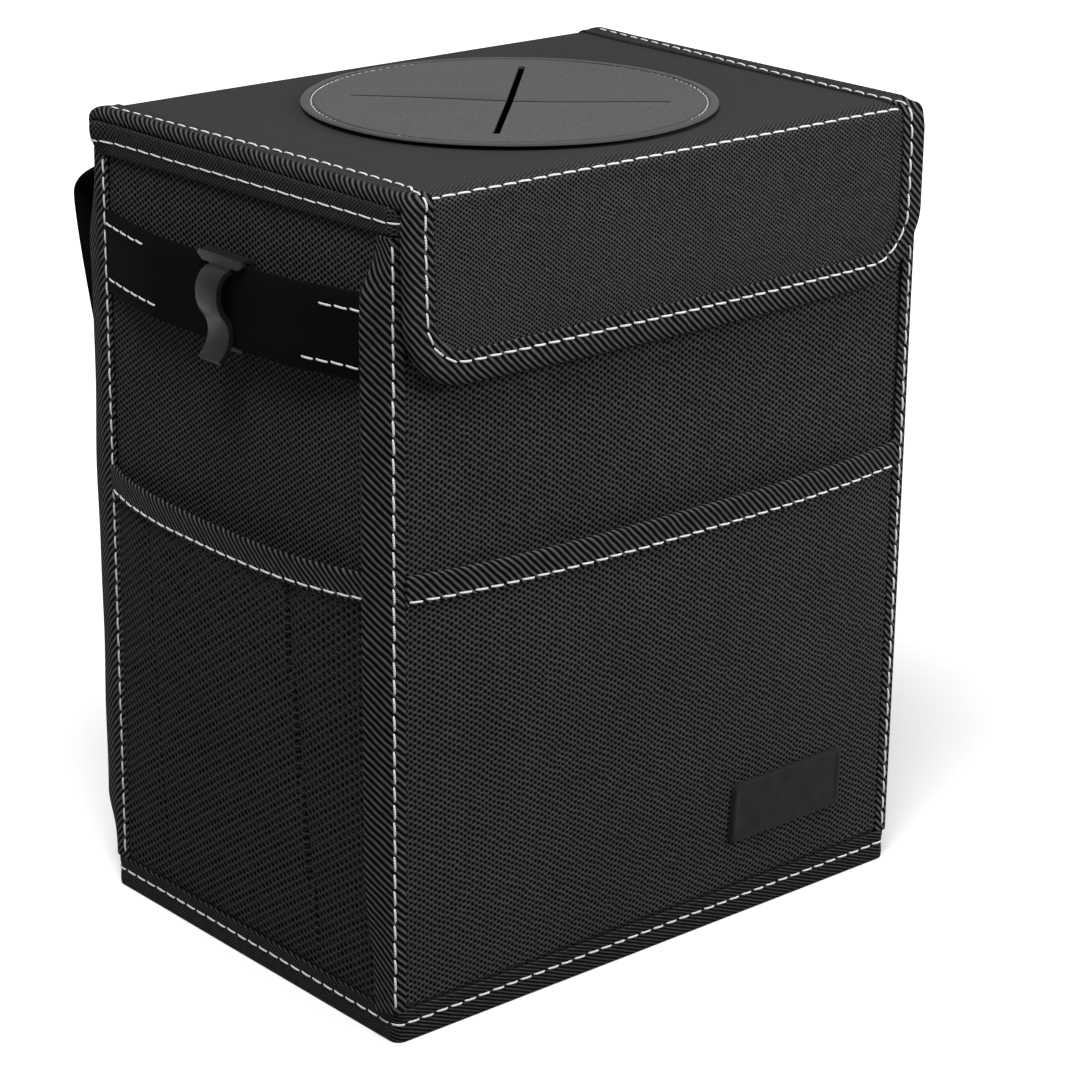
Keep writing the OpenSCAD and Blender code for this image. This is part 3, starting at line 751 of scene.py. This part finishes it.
def corner_path(reach, leans, leg, seed, top=0.6, eased=0, gather=0.22, crown=(0.14, 0.36)):
    """Sections of a corner's binding from its foot to the rim, in the corner's own frame. The
    flange has less reach and lean at its foot, over the share gather, and at its top, by crown."""
    rest, middle, foot = leans
    z = spread(BASE_BAND - 0.3, BODY_H - RIM_H + top, 1.5)
    rows = []
    for height in z:
        t = (height - BASE_BAND) / (BODY_H - RIM_H - BASE_BAND)
        up, down = ease(t / gather), ease((1 - t) / crown[0])
        lean = min(foot + (middle - foot) * up, rest + (middle - rest) * down)
        lean += 1.6 * ripple(height, 0.0, seed, 75, 1) - eased * ease((height - 90) / 150)
        length = reach * min(0.72 + 0.28 * up, crown[1] + (1 - crown[1]) * down)
        length += 0.25 * ripple(height, 5.0, seed + 1, 60, 1)
        rows.append(softened(corner_section(lean, length, leg), 1))
    return z, np.array(rows)


def make_corners():
    rear = corner_path(12.2, (54, 70, 52), 6.6, 31, gather=0.08)
    for name, (z, rows), turned, flipped in [
        ("front_left", corner_path(10.2, (16, 44, 20), 3.0, 21, 2.8, crown=(0.07, 0.6)), False, False),
        ("front_right", corner_path(12.0, (22, 46, 20), 4.2, 21, 2.8, 28), False, True),
        ("rear_left", rear, True, False), ("rear_right", rear, True, True),
    ]:
        a, b = rows[..., 0], rows[..., 1]
        x, y = (-HALF_W + b, HALF_D - a) if turned else (-HALF_W + a, -HALF_D + b)
        grid = points_at(x, y, z[:, None])
        vs = lengths(rows[len(rows) // 2], closed=True) * (1 if flipped != turned else -1)
        grid = mirrored(grid) if flipped else grid
        made = capped(skin(name + "_tape", grid, z, vs, closed_v=True))
        dress(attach(made, "root"), "tape")
        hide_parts(name + "_binding")


# Pockets


def pocket_section(*outer):
    """Section of a pocket's top tape as (out, height). outer is how far its outer side lies out."""
    heights = (161.2, 165, 170, 171.2, 171.6, 171.1, 169.6, 166, 162.5, 161.4, 160.8, 160.9)
    return softened(list(zip((0.1, 0.02, 0.02, 0.4) + outer, heights)))


def make_front_pocket():
    u = spread(-FRONT_HALF - 1.3, FRONT_HALF, 3)
    z = np.concatenate([spread(BASE_BAND, 14.5, 0.5), spread(17, POCKET_H - 1.5, 3)])
    gu, gz = np.meshgrid(u, z, indexing="ij")
    free = np.maximum(1 - np.abs(gu / FRONT_HALF) ** 3, 0)
    loose = ripple(gu, gz, 41, 80, 0.35) * free * ease((gz - 14) / 40)
    tucked = 1.1 * (1 - ease((gz - 12.5) / 1.2))
    made = skin("front_pocket_cloth", front_place(gu, gz, 1.05 + loose - tucked), u, z)
    dress(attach(thickened(made, CLOTH), "root"), "oxford")
    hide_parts("front_pocket")
    u = spread(-FRONT_HALF - 1.5, FRONT_HALF + 0.2, 3)
    section = pocket_section(1.4, 2.3, 2.55, 2.35, 2.1, 2.3, 1.9, 1.1)
    out, height = section.T
    grid = front_place(u[:, None], height + pocket_edge(u)[:, None], out)
    tape = capped(skin("front_pocket_tape", grid, u, -lengths(section, closed=True), closed_v=True))
    dress(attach(tape, "root"), "tape")
    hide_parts("front_pocket_binding")


def holed(name, left):
    """A side pocket's mesh: one cell of strands round each six-sided hole."""
    row = 3.2
    low, high = BASE_BAND + 0.3, POCKET_H - 3
    columns = round((2 * SIDE_HALF - 1) / 2.3)
    step = (2 * SIDE_HALF - 1) / columns
    cells = []
    for c in range(columns):
        shift = row / 2 if c % 2 else 0
        y = -SIDE_HALF + 0.5 + step * (c + 0.5)
        cells += [(y, z) for z in np.arange(low + row / 2 - shift, high, row)]
    # Six points round a cell, shared with its neighbours, and six on the edge of its hole
    wide, tall = step / 1.5, row / 2
    outer = np.array([
        (-wide / 2, -tall), (wide / 2, -tall), (wide, 0), (wide / 2, tall), (-wide / 2, tall), (-wide, 0),
    ])
    outline, inside = (
        (np.array(cells)[:, None] + shape).reshape(-1, 2) for shape in (outer, outer * (0.6, 0.66))
    )
    edge = np.array([SIDE_HALF - 0.2, 0])
    outline = np.clip(outline, (0, low - 0.2) - edge, (0, high + 0.5) + edge)
    edge = np.array([SIDE_HALF - 0.4, 0])
    inside = np.clip(inside, (0, low) - edge, (0, high) + edge)

    def at(flat, off):
        y, z = flat.T
        loose = ripple(y, z, 51 if left else 52, 55, 0.35) * ease((z - 14) / 40)
        tucked = 0.7 * (1 - ease((z - 12.5) / 1.6))
        return side_place(y, z, off + loose * (1 - np.abs(y / SIDE_HALF) ** 3) - tucked + 0.45)

    n = len(outline)
    points = np.vstack([at(outline, 0.42), at(inside, 0.1), at(outline, -0.25)])
    a = np.arange(n)
    b = np.where(a % 6 == 5, a - 5, a + 1)
    quads = np.vstack([
        np.stack([a, a + n, b + n, b], -1), np.stack([a + 2 * n, b + 2 * n, b + n, a + n], -1),
    ])
    if not left:
        points, quads = mirrored(points), quads[:, ::-1]
    uv = np.vstack([outline, inside, outline])[quads].reshape(-1, 2) * MM
    return welded(mesh_from(name, points, quads, uv), 0.00012)


def make_side_pockets():
    section = pocket_section(1.3, 2.1, 2.35, 2.15, 1.95, 2.1, 1.8, 1.0)
    y = spread(-SIDE_HALF - 0.2, SIDE_HALF + 0.2, 3)
    vs = lengths(section, closed=True)
    out, height = section.T
    for side in ("left", "right"):
        cloth = holed(side + "_mesh_cloth", side == "left")
        dress(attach(cloth, "root"), "mesh_cloth")
        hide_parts(side + "_mesh_pocket")
        grid = side_place(y[:, None], height, out, folded=False)
        grid = mirrored(grid) if side == "right" else grid
        tape = capped(skin(side + "_mesh_tape", grid, y, vs, closed_v=True))
        dress(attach(tape, "root"), "tape")
        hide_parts(side + "_mesh_binding")


def make_patch():
    """Blank moulded patch: a soft-edged plate that follows the pocket."""
    inward = 12.0
    edge = np.array([
        (0.0, 0.0), (0.05, 1.2), (0.25, 1.8), (0.6, 2.0), (1.5, 2.0), (1.8, 1.8), (4, 1.8), (8, 1.8),
        (11.9, 1.8),
    ])
    ring = rounded(PATCH_W, PATCH_H, PATCH_R, 1.5)
    core = np.array([PATCH_W / 2 - inward, 0.05])
    share = (edge[:, 0] / inward)[None, :, None]
    u, z = np.moveaxis(ring[:, None] * (1 - share) + np.clip(ring, -core, core)[:, None] * share, -1, 0)
    off = 1.2 + edge[:, 1] * PATCH_T / 2
    grid = front_place(PATCH_MID + u, PATCH_LOW + PATCH_H / 2 + z, off)
    made = skin("name_patch_plate", grid, lengths(ring, closed=True), edge.sum(1), closed_u=True)
    dress(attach(capped(made), "root"), "patch_rubber")
    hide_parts("name_patch")


# Webbing


def strap(name, line, across, width, body, replaced, mirror):
    """Flat webbing of the given width along a line of points. across is its width's direction."""
    line = resampled(line, 1.5)
    across = np.tile(np.array(across, float), (len(line), 1))
    out = unit(np.cross(across, np.gradient(line, axis=0)))
    half, t = width / 2, WEBBING / 2
    side = [(half - 0.5, t), (half / 2, t), (0, t), (-half / 2, t), (-half + 0.5, t)]
    under = [(a, -b) for a, b in side[::-1]]
    section = np.array([
        (-half, -t * 0.4), *under, (half, -t * 0.4), (half, t * 0.4), *side, (-half, t * 0.4),
    ])
    grid = carried(line, across, out, section)
    grid = mirrored(grid) if mirror else grid
    made = skin(name, grid, lengths(line), lengths(section, closed=True), closed_v=True)
    dress(capped(made), "webbing")
    if body:
        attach(made, body)
    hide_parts(replaced)
    return made


def web_out(y):
    """How far the side webbing's middle stands out from its sewn place."""
    return WEB_BOW * (1 - np.clip(1 - (SIDE_HALF - np.abs(y)) / WEB_SLOPE, 0, 1) ** 1.3)


def web_rise(y):
    """How far the webbing's front end lies above the rest."""
    return 1.8 * ease((-y - 15) / 50)


def side_line():
    y = spread(SIDE_HALF, -SIDE_HALF, 1)
    return np.stack([-HALF_W - 0.75 - web_out(y), y, WEB_Z + web_rise(y)], 1)


def round_rod(rod_z, sign):
    """Webbing's centre line half round a buckle's rod, and its short tail."""
    a = np.radians(180 - 18 * np.arange(11))
    points = [(ROD_Y + 2.7 * math.cos(k), rod_z + sign * 2.7 * math.sin(k)) for k in a]
    return points + [(ROD_Y + 2.7, rod_z - sign * 7)]


def make_straps():
    bend = np.array([115.7, 261.5])
    out = curve((84.7, 281.7), (100.2, 273.7), bend + (0, 8), bend, 13)
    down = curve(bend, bend - (1, 16.4), (99.6, 196.0), (86.6, SOCKET_ROD_Z), 14)
    back = np.vstack([out[:-1], down, round_rod(SOCKET_ROD_Z, -1)[1:]])
    t = np.arange(0, 6) / 6
    rise = np.stack([84.7 + 1.9 * ease(t * 1.4 - 0.4), 46 + (PLUG_ROD_Z - 46) * t], 1)
    lower = np.vstack([rise, round_rod(PLUG_ROD_Z, 1)])
    for side in ("left", "right"):
        other = side == "right"
        strap(side + "_side_webbing", side_line(), (0, 0, 1), 30, "root", side + "_side_strap", other)
        for part, line, body in (("back", back, "root"), ("lower", lower, None)):
            name = f"{side}_{part}_"
            points = np.column_stack([np.full(len(line), -BACK_STRAP_X), line])
            made = strap(name + "webbing", points, (1, 0, 0), BACK_WEB, body, name + "strap", other)
        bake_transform(made)


# Lid and flap


def edge_line(step=1.5):
    """The run of the edge tape over the lid and flap: its outer edge, and there the direction in
    over the cloth, the direction out of the cloth and the tape's thickness."""
    rows = []

    def add(point, inward, outward, thick):
        rows.append((*point, *inward, *outward, thick))

    for a in np.radians(spread(-62, 90, 6)):
        n = (0, math.cos(a), math.sin(a))
        point = (-HALF_W - 0.9, 84.9 + 4.8 * n[1], 295.5 + 4.8 * n[2])
        add(point, RIGHT, n, 3.4 + 1.6 * math.sin(a))
    for y in spread(84.9, FOLD_Y, step)[1:]:
        add((-HALF_W - 0.9 * ease((y - 60) / 25), y, LID_TOP), RIGHT, (0, 0, 1), LID_TOP - LID_UNDER)
    for a in np.radians(spread(0, 90, 6))[1:]:
        n = (0, -math.sin(a), math.cos(a))
        add((-HALF_W, FOLD_Y + 4 * n[1], FOLD_Z + 4 * n[2]), RIGHT, n, 5 - 1.4 * math.sin(a))
    for z in spread(FOLD_Z, FLAP_LOW + FLAP_R, step)[1:]:
        add((-HALF_W, FLAP_OUT, z), RIGHT, FORWARD, 3.6)
    for a in np.radians(spread(0, 90, 1.2))[1:]:
        c, s = math.cos(a), math.sin(a)
        point = (-HALF_W + FLAP_R * (1 - c), FLAP_OUT, FLAP_LOW + FLAP_R * (1 - s))
        add(point, (c, 0, s), FORWARD, 3.6)
    for x in spread(-HALF_W + FLAP_R, 0, step)[1:]:
        add((x, FLAP_OUT, FLAP_LOW), (0, 0, 1), FORWARD, 3.6)
    half = np.array(rows)
    flip = np.array([-1, 1, 1, -1, 1, 1, -1, 1, 1, 1.0])
    return np.vstack([half, (half * flip)[::-1][1:]])


def tape_section(thick):
    """Section of the tape round the cloth's edge: in over the cloth, and out from the tape's face."""
    return softened([
        (11.4, -0.85), (11.5, -0.1), (10.9, 0.2), (10.0, 0.1), (8, 0.05), (6, 0.4), (3, 0.4), (1.1, 0.0),
        (0.15, -0.9), (-0.1, -thick / 2), (0.15, 0.9 - thick), (1.1, 0.05 - thick), (6, 0 - thick),
        (12, 0.1 - thick), (12, 0.8 - thick), (2.2, 0.9 - thick), (1.6, -thick / 2), (2.2, -0.9),
    ], 1)


def make_edge_tape():
    rows = edge_line()
    sections = np.array([tape_section(t) for t in rows[:, 9]])
    grid = draped(carried(rows[:, 0:3], rows[:, 3:6], rows[:, 6:9], sections))
    closed = np.concatenate([grid, grid[:, :1]], 1)
    made = skin("edge_tape", grid, closed[..., 0] - closed[..., 1], closed[..., 2], closed_v=True, flip=True)
    x, y, z = np.moveaxis(grid, -1, 0)
    flat = ease((117.5 - np.abs(x)) / 2) * ease((z - 298) / 1) * ease((y + 84) / 4)
    plain = made.data.attributes.new("plain", "FLOAT", "POINT")
    plain.data.foreach_set("value", flat.astype(np.float32).ravel())
    dress(capped(made), "tape")
    over_fold(made)
    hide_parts("lid_binding", "flap_binding")


def over_fold(made):
    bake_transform(made)


def round_hole(half_x, front, rear, hole, angles, rings):
    """Places x, y on an oblong sheet, from the edge of its round hole outwards."""
    c, s = np.cos(angles), np.sin(angles)
    reach_y = np.where(s > 0, rear - DISC_Y, DISC_Y - front) / np.maximum(np.abs(s), 1e-9)
    reach = np.minimum(half_x / np.maximum(np.abs(c), 1e-9), reach_y)
    r = hole + (reach[:, None] - hole) * np.linspace(0, 1, rings)
    return r * c[:, None], DISC_Y + r * s[:, None]


def make_lid():
    """Lid cloth with the port's hole, from the hinge to the start of the flap's fold."""
    half_x, front, rear, rings = 118.8, -82.0, LID_REAR - 0.4, 26
    corners = [math.atan2(y - DISC_Y, x) for x in (-half_x, half_x) for y in (front, rear)]
    angles = np.sort(np.concatenate([np.linspace(-math.pi, math.pi, 241)[:-1], corners]))
    x, y = round_hole(half_x, front, rear, HOLE_R, angles, rings)
    free = ease((107 - np.abs(x)) / 14) * ease((rear - y) / 12) * ease((y - front) / 12)
    grid = draped(np.stack([x, y, 299.5 + free * (0.35 + ripple(x, y, 61, 80, 0.2))], -1))
    made = skin("lid_cloth", grid, np.arange(len(angles) + 1), np.linspace(0, 1, rings), closed_u=True)
    lay_flat(made, grid[..., :2])
    thickened(facing(made, (0, 0, 1)), 0.35)
    dress(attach(made, "lid"), "lid_cloth")
    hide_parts("lid_panel")


def make_lining():
    """The lid's lining, round the port's hole."""
    half_y, rings = 84.6, 14
    angles = np.linspace(-math.pi, math.pi, 145)[:-1]
    x, y = round_hole(HALF_W - 12.2, DISC_Y - half_y, DISC_Y + half_y, HOLE_R + 0.2, angles, rings)
    grid = draped(np.stack([x, y, 295.4 + 0.12 * (1 + ripple(x, y, 65, 60, 0.8))], -1))
    us, vs = np.arange(len(angles) + 1), np.linspace(0, 1, rings)
    made = skin("lid_lining_cloth", grid, us, vs, closed_u=True)
    thickened(facing(made, (0, 0, -1)), LINER)
    dress(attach(made, "lid"), "liner")
    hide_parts("lid_lining")


def flap_half(z):
    """Half width of the flap's cloth at a height, within its tape."""
    low, r = FLAP_LOW + 1.2, FLAP_R - 1.2
    drop = np.clip(low + r - z, 0, r)
    return HALF_W - 1.2 - r + np.sqrt(np.maximum(r * r - drop * drop, 0))


def make_flap():
    """Flap cloth: one sheet from the lid's front over the fold and down to the bottom tape."""
    across = np.linspace(-1, 1, 81)
    turn = np.radians(spread(0, 90, 11))
    rows = np.vstack([
        [(-82, 299.5), (-84, 299.5)],
        np.stack([FOLD_Y - FOLD_R * np.sin(turn), FOLD_Z + FOLD_R * np.cos(turn)], 1),
        [(FOLD_Y - FOLD_R, z) for z in spread(294, FLAP_LOW + 1.4, 2.5)],
    ])
    y, z = rows.T
    x = across[:, None] * np.where(z < 290, flap_half(z), HALF_W - 1.2)
    free = ease((106 - np.abs(x)) / 16) * ease((292 - z) / 16) * ease((z - 245) / 12)
    grid = points_at(x, y - free * (0.4 + ripple(x, z, 71, 60, 0.3)), z)
    vs = lengths(rows)
    made = skin("flap_cloth", draped(grid), across, vs)
    lay_flat(made, np.stack([x, np.broadcast_to(-vs, x.shape)], -1))
    thickened(facing(made, FORWARD), 1.8)
    dress(made, "flap_oxford")
    over_fold(made)
    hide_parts("flap_panel", "flap_fold_bead")


def make_hinge():
    """Strip of lid cloth that turns down behind the lid and is sewn to the rear of the rim."""
    line = resampled([
        (85.2, 299.0), (86.6, 298.8), (87.8, 298.0), (88.7, 296.7), (89.0, 295.2), (88.4, 293.4),
        (87.1, 291.6), (86.5, 289.6), (86.4, 287), (86.4, 284.8),
    ], 0.7)
    x = spread(-HALF_W + 1.5, HALF_W - 1.5, 4)
    y, z = line.T
    narrow = np.where(z < 294, (HALF_W - 12) / HALF_W, 1)
    wide = ease((z - 290) / 6)
    gx = x[:, None] * (narrow * (1 - wide) + wide)
    loose = 0.25 * ripple(gx, z, 81, 50, 1)
    made = skin("hinge_cloth", points_at(gx, y + loose * 0.5, z), x, lengths(line))
    thickened(facing(made, (0, 1, 0)), 0.8)
    dress(made, "lid_cloth")
    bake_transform(made)
    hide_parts("hinge_tail", "lid_hinge_bead")


def make_disc():
    """Port disc: a soft round sheet with a rounded rim and two crossed slits, one gaping."""
    slits = (1.25, 0.8)
    # The rim's section as radius and rise: a groove for the thread, a raised ring, a round edge
    rim = np.array([
        (69.7, 0), (70.1, -0.55), (70.6, -0.55), (71.1, -0.55), (71.5, 0.1), (73.2, 0.1), (74.0, -0.05),
        (74.4, -0.3), (74.5, -0.5),
    ])
    shares = np.concatenate([[0.0, 0.02], spread(0.06, 0.96, 0.045), [0.985, 1.0]])
    radii = np.concatenate([[SLIT_R + 0.3, SLIT_R + 1.5], spread(60, 69, 2.2), rim[:, 0]])
    turns = np.radians(np.concatenate([[0], np.linspace(2.5, 87.5, 35), [90]]))
    ring = np.stack([np.cos(turns), np.sin(turns)], -1)
    points, quads = [], []
    for quarter in range(4):
        corner = np.array([slits[(quarter + 1) % 2], slits[quarter % 2]])
        mouth = np.maximum(SLIT_R * ring, corner)
        inner = corner + (mouth - corner) * shares[:, None, None]
        s, t = np.moveaxis(np.concatenate([inner, ring * radii[:, None, None]]), -1, 0)
        r = np.hypot(s, t)
        near = np.exp(-np.minimum(s, t) / 5) * np.clip(1 - r / SLIT_R, 0, 1)
        sag = -0.5 * np.exp(-(r / 40) ** 2) - 0.55 * near
        angle = math.radians(45 + 90 * quarter)
        x = DISC_X + s * math.cos(angle) - t * math.sin(angle)
        y = DISC_Y + s * math.sin(angle) + t * math.cos(angle)
        z = 302.0 + sag + np.interp(r, *rim.T) + ripple(x, y, 91, 60, 0.1)
        m, n = r.shape
        i, j = np.meshgrid(np.arange(m - 1), np.arange(n - 1), indexing="ij")
        first = quarter * m * n + i * n + j
        points.append(np.stack([x, y, z], -1).reshape(-1, 3))
        quads.append(np.stack([first, first + n, first + n + 1, first + 1], -1).reshape(-1, 4))
    points, quads = draped(np.vstack(points)), np.vstack(quads)
    made = mesh_from("disc_leather", points, quads, points[quads][..., :2].reshape(-1, 2) * MM)
    thickened(welded(made, 0.00003), DISC)
    dress(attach(made, "lid"), "leatherette")
    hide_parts("port_disc")


def make_pads():
    """Hook-and-loop pads with rounded corners, on the wall and inside the flap."""
    ring = rounded(PAD_W, PAD_H, PAD_R, 2)
    share, rise = np.array([(1.0, 0.0), (1.0, 0.8), (0.985, 1.0), (0.9, 1.0), (0.5, 1.0), (0.1, 1.0)]).T
    x, z = ring[:, 0:1] * share, ring[:, 1:2] * share
    for name, body, back, face, replaced in [
        ("loop_pad", "root", -84.15, -85.4, "front_loop_pads"),
        ("hook_pad", "flap", -87.05, -85.75, "flap_hook_pads"),
    ]:
        for side, centre in (("left", -PAD_X), ("right", PAD_X)):
            grid = points_at(centre + x, back + (face - back) * rise, PAD_Z + z)
            grid = draped(grid) if body == "flap" else grid
            made = skin(f"{side}_{name}", grid, lengths(ring, closed=True), share * 12, closed_u=True)
            dress(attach(capped(made), body), "closure")
            if side == "left":
                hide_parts(replaced)


# Stitching


def stitches(name, runs, pitch=6.4, gap=1.0, radius=0.4, high=0.25, lean=0.16):
    """Rows of thread. Each run is a line of points and the cloth's outward direction at each."""
    turn = np.linspace(0, 2 * math.pi, 9)[:-1]
    t = np.array([0, 0.06, 0.2, 0.5, 0.8, 0.94, 1.0])
    lift = np.array([-0.9, -0.3, 0.75, 1.0, 0.75, -0.3, -0.9])
    fat = np.array([0.45, 0.8, 1, 1, 1, 0.8, 0.45])
    m, c = len(t), len(turn)
    i, j = np.meshgrid(np.arange(m - 1), np.arange(c), indexing="ij")
    j1 = (j + 1) % c
    sides = np.stack([i * c + j, i * c + j1, (i + 1) * c + j1, (i + 1) * c + j], -1).reshape(-1, 4)
    start_cap = np.array([(3, 2, 1, 0), (3, 0, 7, 4), (7, 6, 5, 4)])
    end_cap = (m - 1) * c + np.array([(0, 1, 2, 3), (0, 3, 4, 7), (4, 5, 6, 7)])
    points, quads, uv = [], [], []
    rng = np.random.default_rng(len(name))
    for line, out in runs:
        line = np.asarray(line, float)
        out = np.broadcast_to(np.asarray(out, float), line.shape)
        along = lengths(line)
        count = max(1, round(along[-1] / pitch))
        real = along[-1] / count
        for k in range(count):
            places = real * k + gap / 2 + rng.uniform(-0.12, 0.12) + (real - gap) * t
            mid, n = (
                np.stack([np.interp(places, along, of[:, axis]) for axis in range(3)], 1)
                for of in (line, out)
            )
            n = unit(n)
            ahead = unit(np.gradient(mid, axis=0))
            side = unit(np.cross(ahead, n))
            slope = -lean if abs(ahead[3, 2]) > 0.7 else lean
            askew = rng.uniform(-0.08, 0.08) + slope * (2 * t - 1)
            mid = mid + n * (high * lift)[:, None] + side * askew[:, None]
            across = np.stack([np.cos(turn), np.sin(turn) * 0.75], 1) * radius
            first = len(points) * m * c
            points.append(carried(mid, side, n, fat[:, None, None] * across).reshape(-1, 3))
            quads += [first + sides, first + start_cap, first + end_cap]
            u0, u1, v0, v1 = places[i], places[i + 1], j * radius * 0.7, (j + 1) * radius * 0.7
            uv.append(np.stack([u0, v0, u0, v1, u1, v1, u1, v0], -1).reshape(-1, 2))
            uv.append(np.full((24, 2), places[0]))
    made = mesh_from(name, np.vstack(points), np.vstack(quads), np.vstack(uv) * MM)
    return dress(edit(made, turn_out), "thread")


def upright(x, y, z0, z1, out):
    return points_at(x, y, spread(z0, z1, 4)), out


def ring_run(offset, height):
    plan, outward = footprint(offset, 3)
    plan, outward = np.vstack([plan, plan[:1]]), np.vstack([outward, outward[:1]])
    level = np.full(len(plan), float(height))
    return np.column_stack([plan, level]), np.column_stack([outward, level * 0])


def make_stitching():
    runs = [
        ring_run(1.5, 7.2),
        upright(-122.0, -85.25, 14, 285.5, (-0.35, -1, 0)),
        upright(119.0, -85.4, 14, 285.5, (0.1, -1, 0)),
        upright(-121.4, 79.4, 14, 283.5, LEFT),
        upright(121.4, 79.4, 14, 283.5, RIGHT),
    ]
    seam_z = POCKET_H - 8.6
    u = spread(-FRONT_HALF - 1.2, FRONT_HALF - 1, 3)
    runs.append((front_place(u, seam_z + pocket_edge(u), 2.2), FORWARD))
    beside = [side_place(spread(SIDE_HALF - 1, -SIDE_HALF + 1, 3), seam_z, 2.0, folded=False)]
    for y0, y1, up in [(79, 46, 10), (77.5, 38, -10), (-52, -72, 9), (-44, -70, -10.4)]:
        y = spread(y0, y1, 2)
        beside.append(np.stack([-HALF_W - 1.5 - web_out(y), y, WEB_Z + up + web_rise(y)], 1))
    for line in beside:
        runs += [(line, LEFT), (mirrored(line), RIGHT)]
    rim, out = ring_run(1.68, 289.4)
    rim[:, 2] += 2.6 * toward_front(rim[:, 1])
    rim_runs = [(ear(rim), out)]
    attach(stitches("rim_stitches", rim_runs, pitch=7.3, gap=0.5, radius=0.33, high=0.2), "root")
    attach(stitches("body_stitches", runs), "root")

    rows = edge_line()
    rows = rows[rows[:, 1] < 84]
    y = rows[:, 1]
    inset = 8.0 + ease((y + 84) / 6) * (3.0 - 5.5 * ease((y + 60) / 140))
    line = rows[:, 0:3] + rows[:, 3:6] * inset[:, None] + rows[:, 6:9] * 0.15
    over_fold(stitches("edge_stitches", [(draped(line), rows[:, 6:9])]))
    slant = FOLD_R * 0.72
    fold = points_at(spread(-111, 107.5, 3), FOLD_Y - slant, FOLD_Z + slant)
    over_fold(stitches("fold_stitches", [(draped(fold), (0, -0.7, 0.7))]))
    a = np.linspace(0, 2 * math.pi, 240)
    x, y = DISC_X + DISC_SEAM_R * np.cos(a), DISC_Y + DISC_SEAM_R * np.sin(a)
    seam = [(draped(points_at(x, y, 301.5)), (0, 0, 1))]
    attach(stitches("disc_stitches", seam, pitch=3.6, gap=0.9, radius=0.21, high=0.08), "lid")


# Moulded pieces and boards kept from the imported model


def smooth_group():
    """Modifier tree that shades a moulded piece's faces smooth."""
    tree = bpy.data.node_groups.new("Smooth", "GeometryNodeTree")
    for way in ("INPUT", "OUTPUT"):
        tree.interface.new_socket("Geometry", in_out=way, socket_type="NodeSocketGeometry")
    start, end = tree.nodes.new("NodeGroupInput"), tree.nodes.new("NodeGroupOutput")
    smooth = tree.nodes.new("GeometryNodeSetShadeSmooth")
    tree.links.new(start.outputs[0], smooth.inputs["Geometry"])
    tree.links.new(smooth.outputs[0], end.inputs[0])
    return tree


SMOOTH = smooth_group()


def keep(node, look, bevel=0.35):
    made = dress(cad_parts[node], look)
    if bevel:
        made.modifiers.new("Weld", "WELD").merge_threshold = 0.00002
        made.modifiers.new("Smooth", "NODES").node_group = SMOOTH
        round_off = made.modifiers.new("Bevel", "BEVEL")
        round_off.width = bevel * MM
        round_off.segments = 3
        round_off.limit_method = "ANGLE"
        round_off.angle_limit = math.radians(35)
        round_off.harden_normals = True


# Floor, backdrop and light


def seen(net):
    """1 for the camera's own rays and for those that gloss and glass pass on, 0 for the others."""
    rays = net.node("ShaderNodeLightPath").outputs
    passed = net.maths("MAXIMUM", rays["Is Glossy Ray"], rays["Is Transmission Ray"])
    return net.maths("MAXIMUM", rays["Is Camera Ray"], passed)


def make_stage():
    """A white floor whose glow is dimmest where the photograph's shadow falls, a painted shadow there, and a
    white backdrop.
    """
    half, shadow = 6.0, (0.15, -0.13, 0)
    mesh = bpy.data.meshes.new("floor")
    mesh.from_pydata([(x * half, y * half, 0) for x, y in CORNERS], [], [(0, 1, 2, 3)])
    floor = bpy.data.objects.new("floor", mesh)
    bpy.context.scene.collection.objects.link(floor)
    net = material("floor", Specular_IOR_Level=0.1, Roughness=0.9, Emission_Color=(1, 1, 1, 1))
    share = seen(net)
    net.colour(net.blend(share, grey(0.3), grey(0.94)))
    away = net.node("ShaderNodeVectorMath", {0: net.place(), 1: shadow}, operation="DISTANCE")
    # The glow is lowest round the point shadow, just off the bin's front right corner, and rises to full
    # white over a metre: a painted shadow on the floor.
    glow = net.ramp(away.outputs["Value"], 0.2, 1.1, 0.14, 1.0)
    net.give("Emission Strength", net.times(share, glow))
    mesh.materials.append(net.owner)

    world = bpy.data.worlds.new("World")
    bpy.context.scene.world = world
    net = Net(world, "Background", Color=(1, 1, 1, 1))
    net.give("Strength", net.ramp(seen(net), 0, 1, 0.26, 1.0))


def lamp(name, place, target, size, power):
    data = bpy.data.lights.new(name, "AREA")
    data.shape = "RECTANGLE"
    data.size, data.size_y = size
    data.energy = power
    made = bpy.data.objects.new(name, data)
    bpy.context.scene.collection.objects.link(made)
    made.location = place
    aim = Vector(target) - Vector(place)
    made.rotation_mode = "QUATERNION"
    made.rotation_quaternion = aim.to_track_quat("-Z", "Y")


def make_lamps():
    lamp("overhead", (-0.56, -0.4, 1.45), (0, 0, 0.2), (0.6, 0.6), 18.5)
    lamp("front", (0.62, -0.72, 0.64), (0, 0, 0.15), (0.5, 0.4), 7.3)


make_walls()
make_bottom()
make_liner()
make_bands()
make_corners()
make_front_pocket()
make_side_pockets()
make_patch()
make_straps()
make_edge_tape()
make_lid()
make_lining()
make_flap()
make_hinge()
make_disc()
make_pads()
make_stitching()
for side in ("left", "right"):
    keep(side + "_bag_hook", "plastic")
    keep(side + "_buckle_socket", "plastic", 0.5)
    keep(side + "_buckle_plug", "plastic", 0.4)
    keep(side + "_board", "board", 0)
for board in ("front_board", "back_board", "base_board"):
    keep(board, "board", 0)
keep("lid_board", "liner", 0)
make_stage()
make_lamps()
bpy.context.scene.view_settings.view_transform = "Standard"
